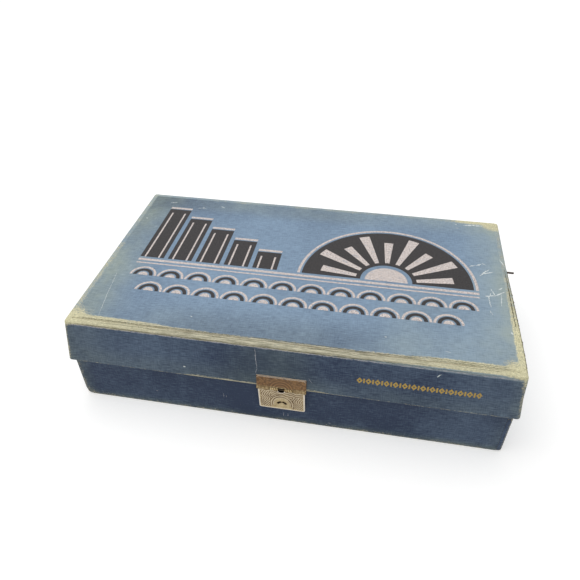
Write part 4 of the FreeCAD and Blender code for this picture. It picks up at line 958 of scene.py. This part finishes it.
# Points along the loops and a finer grid over the plate carry the relief.
rims, ties = [], []
for loop in loops:
    start = len(rims)
    for here, there in zip(loop, np.roll(loop, -1, axis=0)):
        parts = max(1, int(np.linalg.norm(there - here) / RIM_STEP))
        rims += [here + (there - here) * part / parts for part in range(parts)]
    count = len(rims) - start
    ties += [(start + place, start + (place + 1) % count) for place in range(count)]
rims = np.array(rims)
grid = np.stack(np.meshgrid(np.arange(-HASP_HALF + 0.12, HASP_HALF, GRID_STEP),
                            np.arange(TAB_TOP + 0.1, HASP_LENGTH, GRID_STEP)), -1).reshape(-1, 2)
gap = np.array([np.min(np.hypot(*(rims - place).T)) for place in grid])
grid = grid[on_plate(grid[:, 0], grid[:, 1]) & (gap > CLEAR_OF_RIM)]
cut = geometry.delaunay_2d_cdt([Vector(place) for place in np.concatenate([rims, grid])], ties, [], 0, 1e-5)
flat = np.array([tuple(place) for place in cut[0]])
faces = np.array([face for face in cut[2] if len(face) == 3])
middle = flat[faces].mean(1)
faces = faces[on_plate(middle[:, 0], middle[:, 1])]
x, drop = flat.T
relief, grime_and_hole_shade, crest = hasp_relief(x, drop)
back_bulge = 0.42 * ease(round_dimple(x, drop)[0], DIMPLE_RADIUS, 1.1)
outer = on_hasp(x, drop, HASP_METAL / 2 + relief)
inner = on_hasp(x, drop, -HASP_METAL / 2 - back_bulge)
a, b, c = (outer[faces[:, corner]] for corner in range(3))
if np.cross(b - a, c - a)[:, 1].sum() > 0:
    faces = faces[:, ::-1]
# Walls close the sheet along each edge that only one face has.
edges = np.concatenate([faces[:, [0, 1]], faces[:, [1, 2]], faces[:, [2, 0]]])
_, place, uses = np.unique(np.sort(edges, axis=1), axis=0, return_inverse=True, return_counts=True)
count = len(flat)
walls = [(b, a, a + count, b + count) for a, b in edges[uses[place.ravel()] == 1]]
hasp_stamping = make_piece("hasp_stamping", np.concatenate([outer, inner]),
                           faces.tolist() + (faces[:, ::-1] + count).tolist() + walls, pale_brass)
# The back is soiled; round the eye it is painted black, as painted shade inside the eye.
back_soil_and_eye_shade = np.where(np.hypot(x, drop - EYE_DROP) < EYE_RADIUS + 0.1, 1, 0.4)
mark(hasp_stamping, soil=np.concatenate([grime_and_hole_shade, np.maximum(grime_and_hole_shade, back_soil_and_eye_shade)]),
     wear=np.concatenate([crest, np.zeros(count)]))
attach(hasp_stamping, "hasp")
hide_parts("hasp_plate")

# Hasp's knuckle: the hasp's top edge rolled round the pin, and cut through at the eye to bare it.
# Thumbs have rubbed it as pale as the plate, and the stamped lines run over it.
BEVEL = 0.08
turn = np.linspace(0, 2 * math.pi, 33)
for side, start, end in (("left", -BARREL_HALF, -EYE_RADIUS), ("right", EYE_RADIUS, BARREL_HALF)):
    profile = [(start, PIN_BORE), (start, BARREL_RADIUS - BEVEL),
               *((x, BARREL_RADIUS) for x in np.linspace(start + BEVEL, end - BEVEL, 24)),
               (end, BARREL_RADIUS - BEVEL), (end, PIN_BORE)]
    rolled = [np.stack([np.full(len(turn), x), CLASP_Y + radius * np.cos(turn),
                        CLASP_Z + radius * np.sin(turn)], 1) for x, radius in profile]
    hasp_knuckle = lay_sheet(side + "_hasp_knuckle", rolled, pale_brass)
    x, _, z = corners_of(hasp_knuckle).T
    mark(hasp_knuckle, soil=0.3 + 0.24 * np.cos(2 * math.pi * (x + 0.6 * (z - CLASP_Z)) / LINE_PITCH))
    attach(hasp_knuckle, "hasp")

# Floor: a plain sheet of matt white card under the case, large enough to fill the picture behind it.
# To the eye and in gloss it glows a little, and a little more away from the lamp, so that it is white where
# it is lit and the case's shadow stays soft.
FLOOR_HALF = 9000.0


def seen_rays(tree):
    """1 for the eye's own rays and for those that gloss or glass sends on, else 0."""
    seen = add(tree, "LightPath", out="Is Camera Ray")
    for ray in ("Is Glossy Ray", "Is Transmission Ray"):
        seen = add(tree, "Math", {0: seen, 1: add(tree, "LightPath", out=ray)}, operation="MAXIMUM")
    return seen


white_card, tree = new_finish("matt_white_card")
card_face = add(tree, "BsdfDiffuse", {"Color": "E4E4E3"})
away = add(tree, "VectorMath", {0: add(tree, "TexCoord", out="Object")}, out="Value", operation="LENGTH")
lift = add(tree, "MapRange", {"Value": away, "From Min": 0.3, "From Max": 1.4,
                              "To Min": 0.42, "To Max": 0.56})
strength = add(tree, "Math", {0: seen_rays(tree), 1: lift}, operation="MULTIPLY")
glow = add(tree, "Emission", {"Color": "FFFFFF", "Strength": strength})
add(tree, "OutputMaterial", {"Surface": add(tree, "AddShader", {0: card_face, 1: glow})})
floor_corners = FLOOR_HALF * np.array([(-1, -1, 0), (1, -1, 0), (1, 1, 0), (-1, 1, 0)])
floor = make_piece("floor", floor_corners, [(0, 1, 2, 3)], white_card)

# Studio light: a white surround and one large soft box above the case, at a plain level.
# The surround lights the sides softly and shows white to the eye; the box, 1.1 m by 0.8 m, lights the top.
scene = bpy.context.scene
scene.view_settings.view_transform = "Standard"
scene.world = bpy.data.worlds.new("white_surround")
scene.world.use_nodes = True
tree = scene.world.node_tree
tree.nodes.clear()
level = add(tree, "MapRange", {"Value": seen_rays(tree), "To Min": 0.6, "To Max": 1.0})
add(tree, "OutputWorld", {"Surface": add(tree, "Background", {"Color": "FFFFFF", "Strength": level})})
soft_box = bpy.data.lights.new("soft_box", "AREA")
soft_box.shape = "RECTANGLE"
soft_box.size, soft_box.size_y, soft_box.energy = 1.1, 0.8, 4.6
lamp = bpy.data.objects.new("soft_box", soft_box)
lamp.location = (-0.2, 0.05, 0.98)
lamp.rotation_euler = (Vector((0, 0, 0.03)) - lamp.location).to_track_quat("-Z", "Y").to_euler()
scene.collection.objects.link(lamp)

# Camera: above the front, a little to the right of the middle, with a normal lens on a square frame.
# It stands where the picture was taken, worked out from the case's corners; angles are in degrees.
CAMERA_AT, CAMERA_AZIMUTH, CAMERA_ELEVATION, CAMERA_ROLL = (46.35, -294.622, 293.942), 10.66, 39.74, -0.651
SENSOR, FOCAL_PIXELS, PICTURE_PIXELS = 36, 553.682, 580
azimuth, elevation, roll = (math.radians(angle) for angle in (CAMERA_AZIMUTH, CAMERA_ELEVATION, CAMERA_ROLL))
behind = Vector((math.sin(azimuth) * math.cos(elevation), -math.cos(azimuth) * math.cos(elevation),
                 math.sin(elevation)))
right = (-behind).cross(Vector((0, 0, 1))).normalized()
up = right.cross(-behind)
tilted_right = right * math.cos(roll) + up * math.sin(roll)
tilted_up = up * math.cos(roll) - right * math.sin(roll)
lens = bpy.data.cameras.new("camera")
lens.sensor_width, lens.lens = SENSOR, SENSOR * FOCAL_PIXELS / PICTURE_PIXELS
camera = bpy.data.objects.new("camera", lens)
turned = Matrix((tilted_right, tilted_up, behind)).transposed().to_4x4()
camera.matrix_world = Matrix.Translation(Vector(CAMERA_AT) * MM) @ turned
scene.collection.objects.link(camera)
scene.camera = camera
